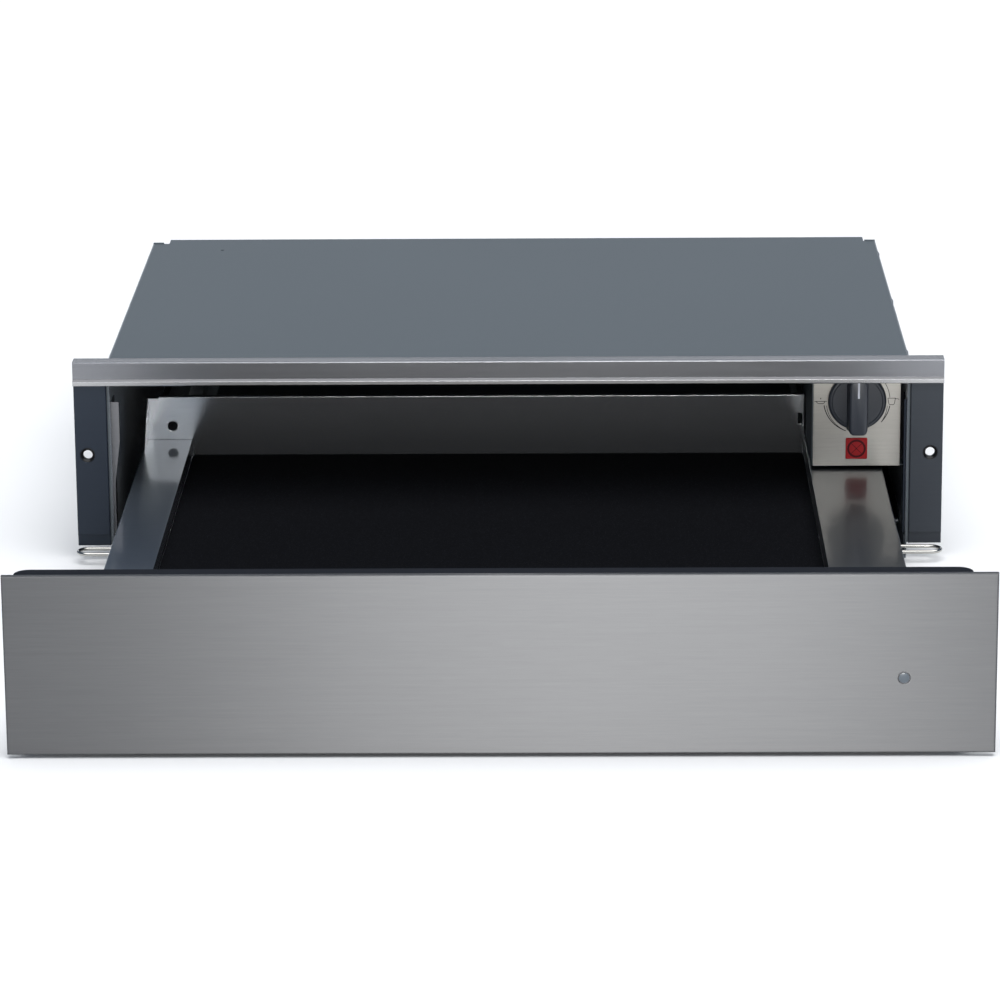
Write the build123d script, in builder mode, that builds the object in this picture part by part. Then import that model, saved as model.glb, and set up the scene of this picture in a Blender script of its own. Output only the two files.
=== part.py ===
from build123d import *
import os

os.makedirs("parts", exist_ok=True)

# Frame: X to the right, Y to the rear, Z up. Y = 0 is the plane that bears on the cabinet's front
# edge, Z = 0 is the niche floor, X = 0 is the middle. The drawer stands open, as stored.

# Overall sizes
unit_width = 595.0
unit_height = 140.0
flange_overhang = 23.5
case_depth = 518.0
top_depth = 368.0
step_height = 108.0
drawer_travel = 402.0

# Sheets and clearances
sheet = 0.8
trim_sheet = 1.0
rear_sheet = 1.0
bracket_sheet = 1.5
hem = 12.0
hem_clearance = 4.0
bend_share = 0.8  # outer bend radius over sheet thickness
bend_relief = 1.0
running_gap = 0.4
spindle_clearance = 0.05
hole_clearance = 0.1

# Front frame
trim_height = 16.5
trim_lip = 1.5
trim_projection = 6.0
trim_return = 12.0
lip_height = 4.5
top_front_lip = 5.0
flange_base = 9.0
flange_depth = 3.2
flange_step_height = 8.0
flange_step_depth = 1.6
flange_gap = 0.2
flange_inset = 1.0
case_flange_inset = 1.5
fixing_inset = 8.5
fixing_height = 74.0
fixing_bore = 6.5
bush_diameter = 10.0
bush_countersink = 9.2
stiffener_width = 5.6
stiffener_leg = 20.0
stiffener_setback = 6.0
stiffener_height = 109.0
stiffener_head = 28.0
stiffener_taper = 30.0
stiffener_edge = 1.8

# Bottom front wire
wire_diameter = 2.6
wire_height = 7.0
wire_loop_depth = 14.0
wire_overreach = 0.5
bottom_lip = 8.0
clip_wall = 0.4
clip_length = 8.0
clip_inset = 12.0
clip_middle = 90.0

# Drawer
drawer_side_clearance = 16.0
front_height = 112.2
front_bottom = 2.0
front_thickness = 20.0
front_skin = 1.0
front_return = 4.0
front_closed_gap = 1.0
liner_wall = 1.5
liner_left_inset = 6.5
liner_right_inset = 14.5
liner_corner = 9.0
liner_inset = 0.6
liner_bottom = 10.0
rim_height = 56.0
left_rim_width = 32.0
right_rim_width = 50.0
skirt_bottom = 12.0
rear_clearance = 12.0
floor_height = 42.2
mat_thickness = 2.0
mat_margin = 0.5
mat_corner = 6.0
rear_wall_rise = 31.2
rear_wall_right_gap = 1.0
wall_inset = 0.5
gusset_length = 35.0
gusset_nose = (6.0, 4.0)
rear_hem = 5.0
wall_hole_diameter = 7.0
wall_hole_inset = 18.0
wall_hole_rise = 10.0
wall_slot = (3.0, 8.0)
wall_slot_inset = 1.5
wall_slot_rise = 10.0
wall_notch = (8.5, 1.0)

# Slides, under the two rims
slide_thickness = 12.7
slide_height = 35.0
slide_bottom = 14.0
slide_length = 420.0
slide_start = 12.0
middle_length = 400.0
rail_sheet = 1.5
rail_web = 1.2
outer_rail_depth = 9.0
middle_rail_setback = 3.0
middle_rail_depth = 8.0
inner_rail_depth = 7.7
bracket_foot = 16.0

# Control plate, knob and lamp
plate_setback = 20.0
plate_rim_gap = 2.0
plate_width = 60.0
plate_sheet = 1.0
plate_bend = 12.0
plate_side_gap = 3.2
knob_drop = 33.5
knob_diameter = 40.0
knob_disc = 4.5
knob_reach = 19.0
knob_gap = 0.5
knob_chamfer = 1.2
grip_width = 13.4
grip_tail = 21.0
grip_inset = 1.0
grip_crown = 3.0
grip_round = 1.6
tail_taper = (2.0, 3.0)
pointer_width = 1.3
pointer_length = 11.3
pointer_depth = 0.4
pointer_inset = 1.6
spindle_diameter = 6.0
spindle_flat = 1.5
spindle_depth = 18.0
spindle_grip = 12.0
spindle_flat_length = 10.0
spindle_end_gap = 0.5
neck_diameter = 9.8
thermostat_size = (32.0, 28.0, 29.0)
thermostat_corner = 4.0
lamp_size = 15.0
lamp_rise = 12.5
lamp_proud = 1.2
lamp_lip = 0.5
lamp_round = 0.6
lamp_depth = 24.0
lamp_chamfer = 1.5

# Hot air unit behind the control plate
tag_sheet = 0.8
tag_width = 4.0
tag_length = 6.3
tag_spacing = 7.0
fan_frame = 58.0
fan_frame_depth = 20.0
fan_setback = 136.0
frame_corner = 3.0
impeller_diameter = 52.0
blade_gap = 1.0
hub_diameter = 16.0
hub_inset = 2.0
hub_cap = 2.0
blade_count = 7
blade_thickness = 1.2
blade_width = 14.0
blade_root = 2.0
blade_tip_drop = 0.4
blade_pitch = 35.0
shaft_diameter = 3.0
motor_diameter = 34.0
motor_length = 26.0
motor_gap = 2.0
motor_wall = 3.0
motor_round = 2.0
motor_bracket_margin = 2.0
shaft_end_play = 1.0
element_diameter = 6.5
element_spacing = 20.0
element_length = 112.0
element_fan_gap = 10.0
element_bracket_setback = 20.0
element_bracket_margin = 10.0
cutout_diameter = 15.0
cutout_height = 9.0
cutout_round = 1.0
cutout_at = 90.0
block_size = (30.0, 16.0, 14.0)
block_setback = 33.0
block_corner = 1.5
block_way = (4.0, 6.0)
loom_diameter = 4.0
loom_height = 128.0
loom_bend = 9.0
loom_drop = 22.0
loom_clip_at = 6.0
loom_clip_width = 8.0
loom_clip_wall = 1.2
louvre_length = 44.0
louvre_height = 3.0
louvre_pitch = 7.0
louvre_rows = 5
louvre_start = 146.0
louvre_setback = 34.0
louvre_base = 72.0
gland_thread = 16.0
gland_flange = 22.0
gland_bore = 8.0
gland_flange_depth = 4.0
gland_dome = 14.0
gland_height = 123.0

# Indicator in the front
lens_diameter = 7.0
lens_inset = 55.5
lens_drop = 65.0
lens_proud = 0.3
lens_stub = 1.0
guide_width = 8.0
guide_depth = 6.0
guide_pipe = 6.0

# Screws
screw_head = 7.0
screw_head_height = 2.2
screw_shank = 3.8
screw_length = 5.0
screw_slot = (4.2, 0.9, 1.2)
screw_hole = screw_shank + 2 * hole_clearance
top_screw_ends = (38.0, 23.0)
bottom_screw_ends = (60.0, 58.0)
bracket_screws_at = (40.0, 400.0)
rear_screw_heights = (30.0, 90.0)
drawer_screw_inset = 9.0
drawer_screw_z = 36.0
top_dot_inset = (54.0, 22.0)
top_dot_diameter = 3.0
ear_width = 8.0
ear_rise = 1.0

# Positions that follow from the sizes
half_unit = unit_width / 2
half_case = half_unit - flange_overhang
wall_inside = half_case - sheet
hem_inside = wall_inside - sheet
case_top_z = unit_height - trim_sheet
ceiling = case_top_z - sheet
rear_inside = case_depth - rear_sheet
trim_bottom = unit_height - trim_height
flange_top = trim_bottom - flange_gap
flange_front = -sheet - flange_depth
flange_inner_x = half_case + flange_inset
half_drawer = half_case - drawer_side_clearance
fixing_x = half_unit - fixing_inset
liner_left = half_unit - liner_left_inset
liner_right = half_unit - liner_right_inset
lens_offset = half_unit - lens_inset

front_closed = -flange_front + front_closed_gap + front_thickness
front_y = -(front_closed + drawer_travel)
liner_y = front_y + front_thickness
drawer_rear = case_depth - rear_clearance - drawer_travel
front_top = front_bottom + front_height
tray_left = -half_drawer + left_rim_width
tray_right = half_drawer - right_rim_width
rim_under = rim_height - sheet
floor_top = floor_height + sheet
rear_wall_top = rim_height + rear_wall_rise

plate_bottom = rim_height + plate_rim_gap
plate_right = wall_inside - plate_side_gap
plate_left = plate_right - plate_width
knob_offset = (plate_left + plate_right) / 2
box_left = plate_left - sheet
box_floor_top = plate_bottom + sheet
plate_rear = plate_setback + plate_sheet
box_middle = (box_left + wall_inside) / 2
knob_height = ceiling - knob_drop
lamp_height = plate_bottom + lamp_rise
knob_back = plate_setback - knob_gap
knob_front = knob_back - knob_reach
fan_axis_z = box_floor_top + fan_frame / 2
fan_start = top_depth - fan_setback
motor_start = fan_start + fan_frame_depth + motor_gap
motor_end = motor_start + motor_length
element_end = fan_start - element_fan_gap
element_start = element_end - element_length
element_bracket_at = fan_start - element_bracket_setback


def slab(x_span, y_span, z_span, mode=Mode.ADD):
    # a straight block between the ends of three spans
    middle = tuple((low + high) / 2 for low, high in (x_span, y_span, z_span))
    size = [abs(high - low) for low, high in (x_span, y_span, z_span)]
    with Locations(middle):
        Box(*size, mode=mode)


def rod(start, axis, diameter, length, mode=Mode.ADD):
    # a round bar, or a bore, from its start point along +X, +Y or +Z
    turn = {"x": (0, 90, 0), "y": (-90, 0, 0), "z": (0, 0, 0)}[axis]
    with Locations(Location(start, turn)):
        Cylinder(diameter / 2, length, align=(Align.CENTER, Align.CENTER, Align.MIN), mode=mode)


def front_plane(y):
    # sketch x is X and sketch y is Z; a positive extrusion comes to the front
    return Plane(origin=(0, y, 0), x_dir=(1, 0, 0), z_dir=(0, -1, 0))


def side_plane(x):
    # sketch x is Y and sketch y is Z; a positive extrusion goes to the right
    return Plane(origin=(x, 0, 0), x_dir=(0, 1, 0), z_dir=(1, 0, 0))


def between(side, near, far):
    # a span of X on the left (side -1) or the right (side 1)
    return (side * near, side * far)


def screw_row(ends, depth):
    # three places along Y, set in by the two ends
    first = ends[0]
    last = depth - ends[1]
    return (first, (first + last) / 2, last)


def pan_screw(seat, turn, shank=screw_length):
    # head outside the seat, shank going in
    with Locations(Location(seat, turn)):
        Cylinder(screw_head / 2, screw_head_height, align=(Align.CENTER, Align.CENTER, Align.MIN))
        Cylinder(screw_shank / 2, shank, align=(Align.CENTER, Align.CENTER, Align.MAX))
        with Locations((0, 0, screw_head_height)):
            Box(*screw_slot, mode=Mode.SUBTRACT)


# ---- Case ----

top_screw_z = ceiling - hem / 2
bottom_screw_z = sheet + hem / 2
side_screws_top = screw_row(top_screw_ends, top_depth)
side_screws_bottom = screw_row(bottom_screw_ends, case_depth)
rear_screw_x = wall_inside - hem / 2

for side, hand in ((-1, "left"), (1, "right")):
    with BuildPart() as case_side:
        with BuildSketch(side_plane(side * wall_inside)):
            with BuildLine():
                Polyline(
                    (-sheet, 0),
                    (rear_inside, 0),
                    (rear_inside, step_height),
                    (top_depth, step_height),
                    (top_depth, case_top_z),
                    (-sheet, case_top_z),
                    close=True,
                )
            make_face()
        extrude(amount=side * sheet)
        front_flange_x = between(side, wall_inside, half_unit - case_flange_inset)
        slab(front_flange_x, (-sheet, 0), (flange_base, flange_top - case_flange_inset))
        rear_flange = (rear_inside - sheet, rear_inside)
        rear_flange_z = (hem + hem_clearance, step_height - hem)
        slab(between(side, wall_inside - hem, wall_inside), rear_flange, rear_flange_z)
        rod((side * fixing_x, -sheet, fixing_height), "y", fixing_bore, sheet, Mode.SUBTRACT)
        left_end = min(side * wall_inside, side * half_case)
        for y in side_screws_top:
            rod((left_end, y, top_screw_z), "x", screw_hole, sheet, Mode.SUBTRACT)
        for y in side_screws_bottom:
            rod((left_end, y, bottom_screw_z), "x", screw_hole, sheet, Mode.SUBTRACT)
        for z in rear_screw_heights:
            rod((side * rear_screw_x, rear_inside - sheet, z), "y", screw_hole, sheet, Mode.SUBTRACT)
    case_side.part.label = f"case_{hand}_side"
    export_step(case_side.part, f"parts/case_{hand}_side.step")

with BuildPart() as case_bottom:
    slab((-wall_inside, wall_inside), (-bottom_lip, rear_inside), (0, sheet))
    for side in (-1, 1):
        hem_y = (hem_clearance, rear_inside - hem_clearance)
        slab(between(side, hem_inside, wall_inside), hem_y, (sheet, sheet + hem))
        for y in side_screws_bottom:
            start_x = min(side * hem_inside, side * wall_inside)
            rod((start_x, y, bottom_screw_z), "x", screw_hole, sheet, Mode.SUBTRACT)
    bracket_screw_x = {-1: tray_left - sheet - slide_thickness - bracket_foot / 2 - bracket_sheet,
                       1: tray_right + sheet + slide_thickness + bracket_foot / 2 + bracket_sheet}
    for x in bracket_screw_x.values():
        for y in bracket_screws_at:
            rod((x, y, 0), "z", screw_hole, sheet, Mode.SUBTRACT)
case_bottom.part.label = "case_bottom"
export_step(case_bottom.part, "parts/case_bottom.step")

with BuildPart() as case_top:
    slab((-wall_inside, wall_inside), (0, top_depth), (ceiling, case_top_z))
    slab((-hem_inside, hem_inside), (0, sheet), (ceiling - top_front_lip, ceiling))
    for side in (-1, 1):
        hem_y = (2 * hem_clearance, top_depth - 2 * hem_clearance)
        slab(between(side, hem_inside, wall_inside), hem_y, (ceiling - hem, ceiling))
        for y in side_screws_top:
            start_x = min(side * hem_inside, side * wall_inside)
            rod((start_x, y, top_screw_z), "x", screw_hole, sheet, Mode.SUBTRACT)
    dot_at = (-half_case + top_dot_inset[0], top_depth - top_dot_inset[1], ceiling)
    rod(dot_at, "z", top_dot_diameter, sheet, Mode.SUBTRACT)
case_top.part.label = "case_top"
export_step(case_top.part, "parts/case_top.step")

with BuildPart() as rear_step_wall:
    slab((-half_case, half_case), (top_depth, top_depth + sheet), (step_height, case_top_z))
    for side in (-1, 1):
        ear_x = between(side, half_case - ear_width, half_case)
        slab(ear_x, (top_depth, top_depth + sheet), (case_top_z, case_top_z + ear_rise))
    rod((box_middle, top_depth, gland_height), "y", gland_thread, sheet, Mode.SUBTRACT)
rear_step_wall.part.label = "rear_step_wall"
export_step(rear_step_wall.part, "parts/rear_step_wall.step")

with BuildPart() as rear_step_deck:
    slab((-half_case, half_case), (top_depth + sheet, case_depth), (step_height, step_height + sheet))
rear_step_deck.part.label = "rear_step_deck"
export_step(rear_step_deck.part, "parts/rear_step_deck.step")

with BuildPart() as rear_panel:
    slab((-half_case, half_case), (rear_inside, case_depth), (0, step_height))
    slab((-hem_inside, hem_inside), (rear_inside - hem, rear_inside), (step_height - sheet, step_height))
    for side in (-1, 1):
        for z in rear_screw_heights:
            rod((side * rear_screw_x, rear_inside, z), "y", screw_hole, rear_sheet, Mode.SUBTRACT)
rear_panel.part.label = "rear_panel"
export_step(rear_panel.part, "parts/rear_panel.step")

with BuildPart() as case_screws:
    for side in (-1, 1):
        outward = (0, side * 90, 0)
        for y in side_screws_top:
            pan_screw((side * half_case, y, top_screw_z), outward)
        for y in side_screws_bottom:
            pan_screw((side * half_case, y, bottom_screw_z), outward)
        for z in rear_screw_heights:
            pan_screw((side * rear_screw_x, case_depth, z), (-90, 0, 0))
case_screws.part.label = "case_screws"
export_step(case_screws.part, "parts/case_screws.step")

# ---- Front frame ----

with BuildPart() as top_trim:
    face_y = -trim_projection
    lip_y = face_y - trim_lip
    lip_z = trim_bottom + lip_height
    with BuildSketch(side_plane(-half_unit)):
        with BuildLine():
            Polyline(
                (face_y + trim_return, unit_height),
                (face_y, unit_height),
                (face_y, lip_z),
                (lip_y, lip_z - trim_lip),
                (lip_y, trim_bottom),
                (-sheet, trim_bottom),
                (-sheet, trim_bottom + trim_sheet),
                (lip_y + trim_sheet, trim_bottom + trim_sheet),
                (lip_y + trim_sheet, lip_z - trim_lip),
                (face_y + trim_sheet, lip_z),
                (face_y + trim_sheet, case_top_z),
                (face_y + trim_return, case_top_z),
                close=True,
            )
        make_face()
    extrude(amount=unit_width)
    long_edges = top_trim.edges().filter_by(Axis.X).group_by(Axis.Z)
    outer_bends = [long_edges[0].sort_by(Axis.Y)[0], long_edges[-1].sort_by(Axis.Y)[0]]
    fillet(outer_bends, bend_share * trim_sheet)
top_trim.part.label = "top_trim"
export_step(top_trim.part, "parts/top_trim.step")

for side, hand in ((-1, "left"), (1, "right")):
    with BuildPart() as front_flange:
        outer_x = between(side, flange_inner_x, half_unit)
        inner_x = between(side, flange_inner_x + sheet, half_unit - sheet)
        step_z = flange_base + flange_step_height
        step_y = flange_front + flange_step_depth
        slab(outer_x, (flange_front, -sheet), (step_z, flange_top))
        slab(outer_x, (step_y, -sheet), (flange_base, step_z))
        fillet(front_flange.edges().filter_by(Axis.Z).group_by(Axis.Y)[0], bend_share * sheet)
        slab(inner_x, (flange_front + sheet, -sheet), (step_z + sheet, flange_top - sheet), Mode.SUBTRACT)
        slab(inner_x, (step_y + sheet, -sheet), (flange_base + sheet, step_z + 2 * sheet), Mode.SUBTRACT)
        bush_seat = (side * fixing_x, flange_front, fixing_height)
        rod(bush_seat, "y", bush_diameter + 2 * hole_clearance, sheet, Mode.SUBTRACT)
    front_flange.part.label = f"{hand}_front_flange"
    export_step(front_flange.part, f"parts/{hand}_front_flange.step")

    with BuildPart() as front_stiffener:
        wall_leg_y = (stiffener_setback, stiffener_setback + stiffener_leg)
        stiffener_z = (sheet + hem + bend_relief, stiffener_height)
        slab(between(side, hem_inside, wall_inside), wall_leg_y, stiffener_z)
        edge_x = wall_inside - stiffener_edge
        front_leg_y = (stiffener_setback, stiffener_setback + sheet)
        slab(between(side, edge_x, wall_inside), front_leg_y, stiffener_z)
        if side < 0:
            # the left one widens to a head; on the right the control plate takes its place
            head_x = stiffener_width - wall_inside
            head_z = stiffener_height - stiffener_head
            with BuildSketch(front_plane(front_leg_y[1])):
                with BuildLine():
                    Polyline(
                        (-edge_x, stiffener_height),
                        (-edge_x, head_z - stiffener_taper),
                        (head_x, head_z),
                        (head_x, stiffener_height),
                        close=True,
                    )
                make_face()
            extrude(amount=sheet)
    front_stiffener.part.label = f"{hand}_front_stiffener"
    export_step(front_stiffener.part, f"parts/{hand}_front_stiffener.step")

with BuildPart() as fixing_bushes:
    for side in (-1, 1):
        seat_x = side * fixing_x
        rod((seat_x, flange_front, fixing_height), "y", bush_diameter, flange_depth)
        rod((seat_x, flange_front, fixing_height), "y", fixing_bore, flange_depth, Mode.SUBTRACT)
        with Locations(Location((seat_x, flange_front, fixing_height), (-90, 0, 0))):
            countersink = (bush_countersink - fixing_bore) / 2
            Cone(
                bush_countersink / 2,
                fixing_bore / 2,
                countersink,
                align=(Align.CENTER, Align.CENTER, Align.MIN),
                mode=Mode.SUBTRACT,
            )
fixing_bushes.part.label = "fixing_bushes"
export_step(fixing_bushes.part, "parts/fixing_bushes.step")

# ---- Bottom front wire ----

clip_top = wire_height + wire_diameter / 2 + clip_wall
wire_rear_y = -bottom_lip / 2
wire_bend = wire_loop_depth / 2
wire_end_x = half_unit + wire_overreach - wire_bend - wire_diameter / 2
clip_outer = half_case - clip_inset

with BuildPart() as front_rest_wire:
    with BuildLine(Plane.XY.offset(wire_height)) as wire_path:
        rear_run = Line((-wire_end_x, wire_rear_y), (wire_end_x, wire_rear_y))
        right_end = RadiusArc(rear_run @ 1, (wire_end_x, wire_rear_y - wire_loop_depth), wire_bend)
        front_run = Line(right_end @ 1, (-wire_end_x, wire_rear_y - wire_loop_depth))
        RadiusArc(front_run @ 1, rear_run @ 0, wire_bend)
    with BuildSketch(Plane(origin=wire_path.line @ 0, z_dir=wire_path.line % 0)):
        Circle(wire_diameter / 2)
    sweep(path=wire_path.line)
front_rest_wire.part.label = "front_rest_wire"
export_step(front_rest_wire.part, "parts/front_rest_wire.step")

with BuildPart() as wire_clips:
    for x in (-clip_outer, -clip_middle, clip_middle, clip_outer):
        clip_x = (x - clip_length / 2, x + clip_length / 2)
        clip_half = wire_diameter / 2 + 2 * clip_wall
        slab(clip_x, (wire_rear_y - clip_half, wire_rear_y + clip_half), (sheet, clip_top))
        bore = wire_diameter + 2 * hole_clearance
        rod((clip_x[0], wire_rear_y, wire_height), "x", bore, clip_length, Mode.SUBTRACT)
wire_clips.part.label = "wire_clips"
export_step(wire_clips.part, "parts/wire_clips.step")

# ---- Slides and their brackets ----

slide_top = slide_bottom + slide_height
middle_start = slide_start + (slide_length - middle_length) / 2 - drawer_travel / 2
inner_start = slide_start - drawer_travel

for side, hand in ((-1, "left"), (1, "right")):
    # each X is the tray wall's outer face, going outwards
    tray_face = -tray_left + sheet if side < 0 else tray_right + sheet
    case_face = tray_face + slide_thickness

    with BuildPart() as rail_bracket:
        bracket_y = (slide_start, slide_start + slide_length)
        leg_x = between(side, case_face, case_face + bracket_sheet)
        slab(leg_x, bracket_y, (sheet, slide_top))
        foot_x = between(side, case_face, case_face + bracket_sheet + bracket_foot)
        slab(foot_x, bracket_y, (sheet, sheet + bracket_sheet))
        for y in bracket_screws_at:
            rod((bracket_screw_x[side], y, sheet), "z", screw_hole, bracket_sheet, Mode.SUBTRACT)
    rail_bracket.part.label = f"{hand}_rail_bracket"
    export_step(rail_bracket.part, f"parts/{hand}_rail_bracket.step")

    with BuildPart() as outer_rail:
        rail_y = (slide_start, slide_start + slide_length)
        open_edge = case_face - outer_rail_depth
        slab(between(side, open_edge, case_face), rail_y, (slide_bottom, slide_top))
        outer_hollow = between(side, open_edge, case_face - rail_web)
        hollow_z = (slide_bottom + rail_sheet, slide_top - rail_sheet)
        slab(outer_hollow, rail_y, hollow_z, Mode.SUBTRACT)
    outer_rail.part.label = f"{hand}_outer_rail"
    export_step(outer_rail.part, f"parts/{hand}_outer_rail.step")

    with BuildPart() as middle_rail:
        rail_y = (middle_start, middle_start + middle_length)
        middle_z = (hollow_z[0] + running_gap, hollow_z[1] - running_gap)
        middle_face = case_face - middle_rail_setback
        open_edge = middle_face - middle_rail_depth
        slab(between(side, open_edge, middle_face), rail_y, middle_z)
        middle_hollow = between(side, open_edge, middle_face - rail_web)
        hollow_z = (middle_z[0] + rail_sheet, middle_z[1] - rail_sheet)
        slab(middle_hollow, rail_y, hollow_z, Mode.SUBTRACT)
    middle_rail.part.label = f"{hand}_middle_rail"
    export_step(middle_rail.part, f"parts/{hand}_middle_rail.step")

    with BuildPart() as inner_rail:
        rail_y = (inner_start, inner_start + slide_length)
        inner_z = (hollow_z[0] + running_gap, hollow_z[1] - running_gap)
        open_edge = tray_face + inner_rail_depth
        slab(between(side, tray_face, open_edge), rail_y, inner_z)
        inner_hollow = between(side, tray_face + rail_web, open_edge)
        hollow_z = (inner_z[0] + rail_sheet, inner_z[1] - rail_sheet)
        slab(inner_hollow, rail_y, hollow_z, Mode.SUBTRACT)
    inner_rail.part.label = f"{hand}_inner_rail"
    export_step(inner_rail.part, f"parts/{hand}_inner_rail.step")

with BuildPart() as bracket_screws:
    for x in bracket_screw_x.values():
        for y in bracket_screws_at:
            pan_screw((x, y, sheet + bracket_sheet), (0, 0, 0), sheet + bracket_sheet)
bracket_screws.part.label = "bracket_screws"
export_step(bracket_screws.part, "parts/bracket_screws.step")

# ---- Drawer ----

drawer_screw_x = (
    -half_drawer + drawer_screw_inset,
    tray_left - drawer_screw_inset,
    tray_right + drawer_screw_inset,
    half_drawer - drawer_screw_inset,
)
lens_z = front_top - lens_drop

with BuildPart() as drawer_front_panel:
    slab((-half_unit, half_unit), (front_y, front_y + front_return), (front_bottom, front_top))
    fillet(drawer_front_panel.edges().group_by(Axis.Y)[0], bend_share * front_skin)
    slab(
        (-half_unit + front_skin, half_unit - front_skin),
        (front_y + front_skin, front_y + front_return),
        (front_bottom + front_skin, front_top - front_skin),
        Mode.SUBTRACT,
    )
    rod((lens_offset, front_y, lens_z), "y", lens_diameter + 2 * hole_clearance, front_skin, Mode.SUBTRACT)
drawer_front_panel.part.label = "drawer_front_panel"
export_step(drawer_front_panel.part, "parts/drawer_front_panel.step")

with BuildPart() as drawer_front_liner:
    liner_z = (liner_bottom, front_top - front_skin - liner_inset)
    liner_front = front_y + front_skin
    slab((-liner_left, liner_right), (liner_front, liner_y), liner_z)
    fillet(drawer_front_liner.edges().filter_by(Axis.Z).group_by(Axis.Y)[-1], liner_corner)
    slab(
        (-liner_left + liner_wall, liner_right - liner_wall),
        (liner_front, liner_y - liner_corner),
        (liner_z[0] + liner_wall, liner_z[1] - liner_wall),
        Mode.SUBTRACT,
    )
    slab(
        (-liner_left + liner_corner, liner_right - liner_corner),
        (liner_front, liner_y - liner_wall),
        (liner_z[0] + liner_wall, liner_z[1] - liner_wall),
        Mode.SUBTRACT,
    )
    pipe_hole = guide_pipe + 2 * hole_clearance
    rod((lens_offset, liner_y - liner_wall, lamp_height), "y", pipe_hole, liner_wall, Mode.SUBTRACT)
    for x in drawer_screw_x:
        rod((x, liner_y - liner_wall, drawer_screw_z), "y", screw_hole, liner_wall, Mode.SUBTRACT)
drawer_front_liner.part.label = "drawer_front_liner"
export_step(drawer_front_liner.part, "parts/drawer_front_liner.step")

with BuildPart() as indicator_lens:
    lens_length = lens_proud + front_skin + lens_stub
    rod((lens_offset, front_y - lens_proud, lens_z), "y", lens_diameter, lens_length)
    fillet(indicator_lens.edges().group_by(Axis.Y)[0], bend_share * lens_proud)
indicator_lens.part.label = "indicator_lens"
export_step(indicator_lens.part, "parts/indicator_lens.step")

with BuildPart() as light_guide:
    guide_front = front_y + front_skin + lens_stub
    guide_x = (lens_offset - guide_width / 2, lens_offset + guide_width / 2)
    guide_z = (lens_z - guide_width / 2, lamp_height + guide_width / 2)
    slab(guide_x, (guide_front, guide_front + guide_depth), guide_z)
    pipe_start = guide_front + guide_depth
    rod((lens_offset, pipe_start, lamp_height), "y", guide_pipe, liner_y - pipe_start)
light_guide.part.label = "light_guide"
export_step(light_guide.part, "parts/light_guide.step")

for side, hand in ((-1, "left"), (1, "right")):
    tray_face = -tray_left if side < 0 else tray_right
    with BuildPart() as side_channel:
        run = (liner_y, drawer_rear)
        slab(between(side, tray_face, half_drawer), run, (rim_under, rim_height))
        slab(between(side, half_drawer - sheet, half_drawer), run, (skirt_bottom, rim_height))
        top_edges = side_channel.edges().filter_by(Axis.Y).group_by(Axis.Z)[-1].sort_by(Axis.X)
        fillet(top_edges[0 if side < 0 else -1], bend_share * sheet)
        slab(between(side, tray_face, tray_face + sheet), run, (skirt_bottom, rim_height))
        front_tab = (liner_y, liner_y + sheet)
        slab(between(side, tray_face, half_drawer), front_tab, (slide_bottom, rim_height - sheet / 2))
        for x in drawer_screw_x:
            if x * side > 0:
                rod((x, liner_y, drawer_screw_z), "y", screw_hole, sheet, Mode.SUBTRACT)
    side_channel.part.label = f"{hand}_side_channel"
    export_step(side_channel.part, f"parts/{hand}_side_channel.step")

with BuildPart() as drawer_screws:
    for x in drawer_screw_x:
        pan_screw((x, liner_y + sheet, drawer_screw_z), (-90, 0, 0))
drawer_screws.part.label = "drawer_screws"
export_step(drawer_screws.part, "parts/drawer_screws.step")

with BuildPart() as tray_floor:
    slab((tray_left, tray_right), (liner_y, drawer_rear - sheet), (floor_height, floor_top))
tray_floor.part.label = "tray_floor"
export_step(tray_floor.part, "parts/tray_floor.step")

with BuildPart() as anti_slip_mat:
    mat_x = (tray_left + mat_margin, tray_right - mat_margin)
    mat_y = (liner_y + mat_margin, drawer_rear - sheet - mat_margin)
    slab(mat_x, mat_y, (floor_top, floor_top + mat_thickness))
    fillet(anti_slip_mat.edges().filter_by(Axis.Z), mat_corner)
anti_slip_mat.part.label = "anti_slip_mat"
export_step(anti_slip_mat.part, "parts/anti_slip_mat.step")

with BuildPart() as tray_rear_wall:
    wall_left = -half_drawer + wall_inset
    wall_right = box_left - rear_wall_right_gap
    wall_y = (drawer_rear - sheet, drawer_rear)
    slab((wall_left, wall_right), wall_y, (rim_height, rear_wall_top))
    slab((tray_left, tray_right), wall_y, (floor_height, rim_height))
    hem_y = (drawer_rear, drawer_rear + rear_hem)
    slab((wall_left, wall_right), hem_y, (rear_wall_top - sheet, rear_wall_top))
    notch_x = (wall_left, wall_left + wall_notch[0])
    notch_z = (rear_wall_top - wall_notch[1], rear_wall_top)
    slab(notch_x, (wall_y[0], hem_y[1]), notch_z, Mode.SUBTRACT)
    with BuildSketch(side_plane(wall_left)):
        with BuildLine():
            Polyline(
                (wall_y[0], rim_height),
                (wall_y[0], rear_wall_top - wall_notch[1]),
                (wall_y[0] - gusset_nose[0], rear_wall_top - wall_notch[1] - gusset_nose[1]),
                (wall_y[0] - gusset_length, rim_height),
                close=True,
            )
        make_face()
    extrude(amount=sheet)
    hole_at = (wall_left + wall_hole_inset, wall_y[0], rim_height + wall_hole_rise)
    rod(hole_at, "y", wall_hole_diameter, sheet, Mode.SUBTRACT)
    slot_x = (wall_right - wall_slot_inset - wall_slot[0], wall_right - wall_slot_inset)
    slot_z = (rim_height + wall_slot_rise, rim_height + wall_slot_rise + wall_slot[1])
    slab(slot_x, wall_y, slot_z, Mode.SUBTRACT)
tray_rear_wall.part.label = "tray_rear_wall"
export_step(tray_rear_wall.part, "parts/tray_rear_wall.step")

# ---- Control plate and its box ----

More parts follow.
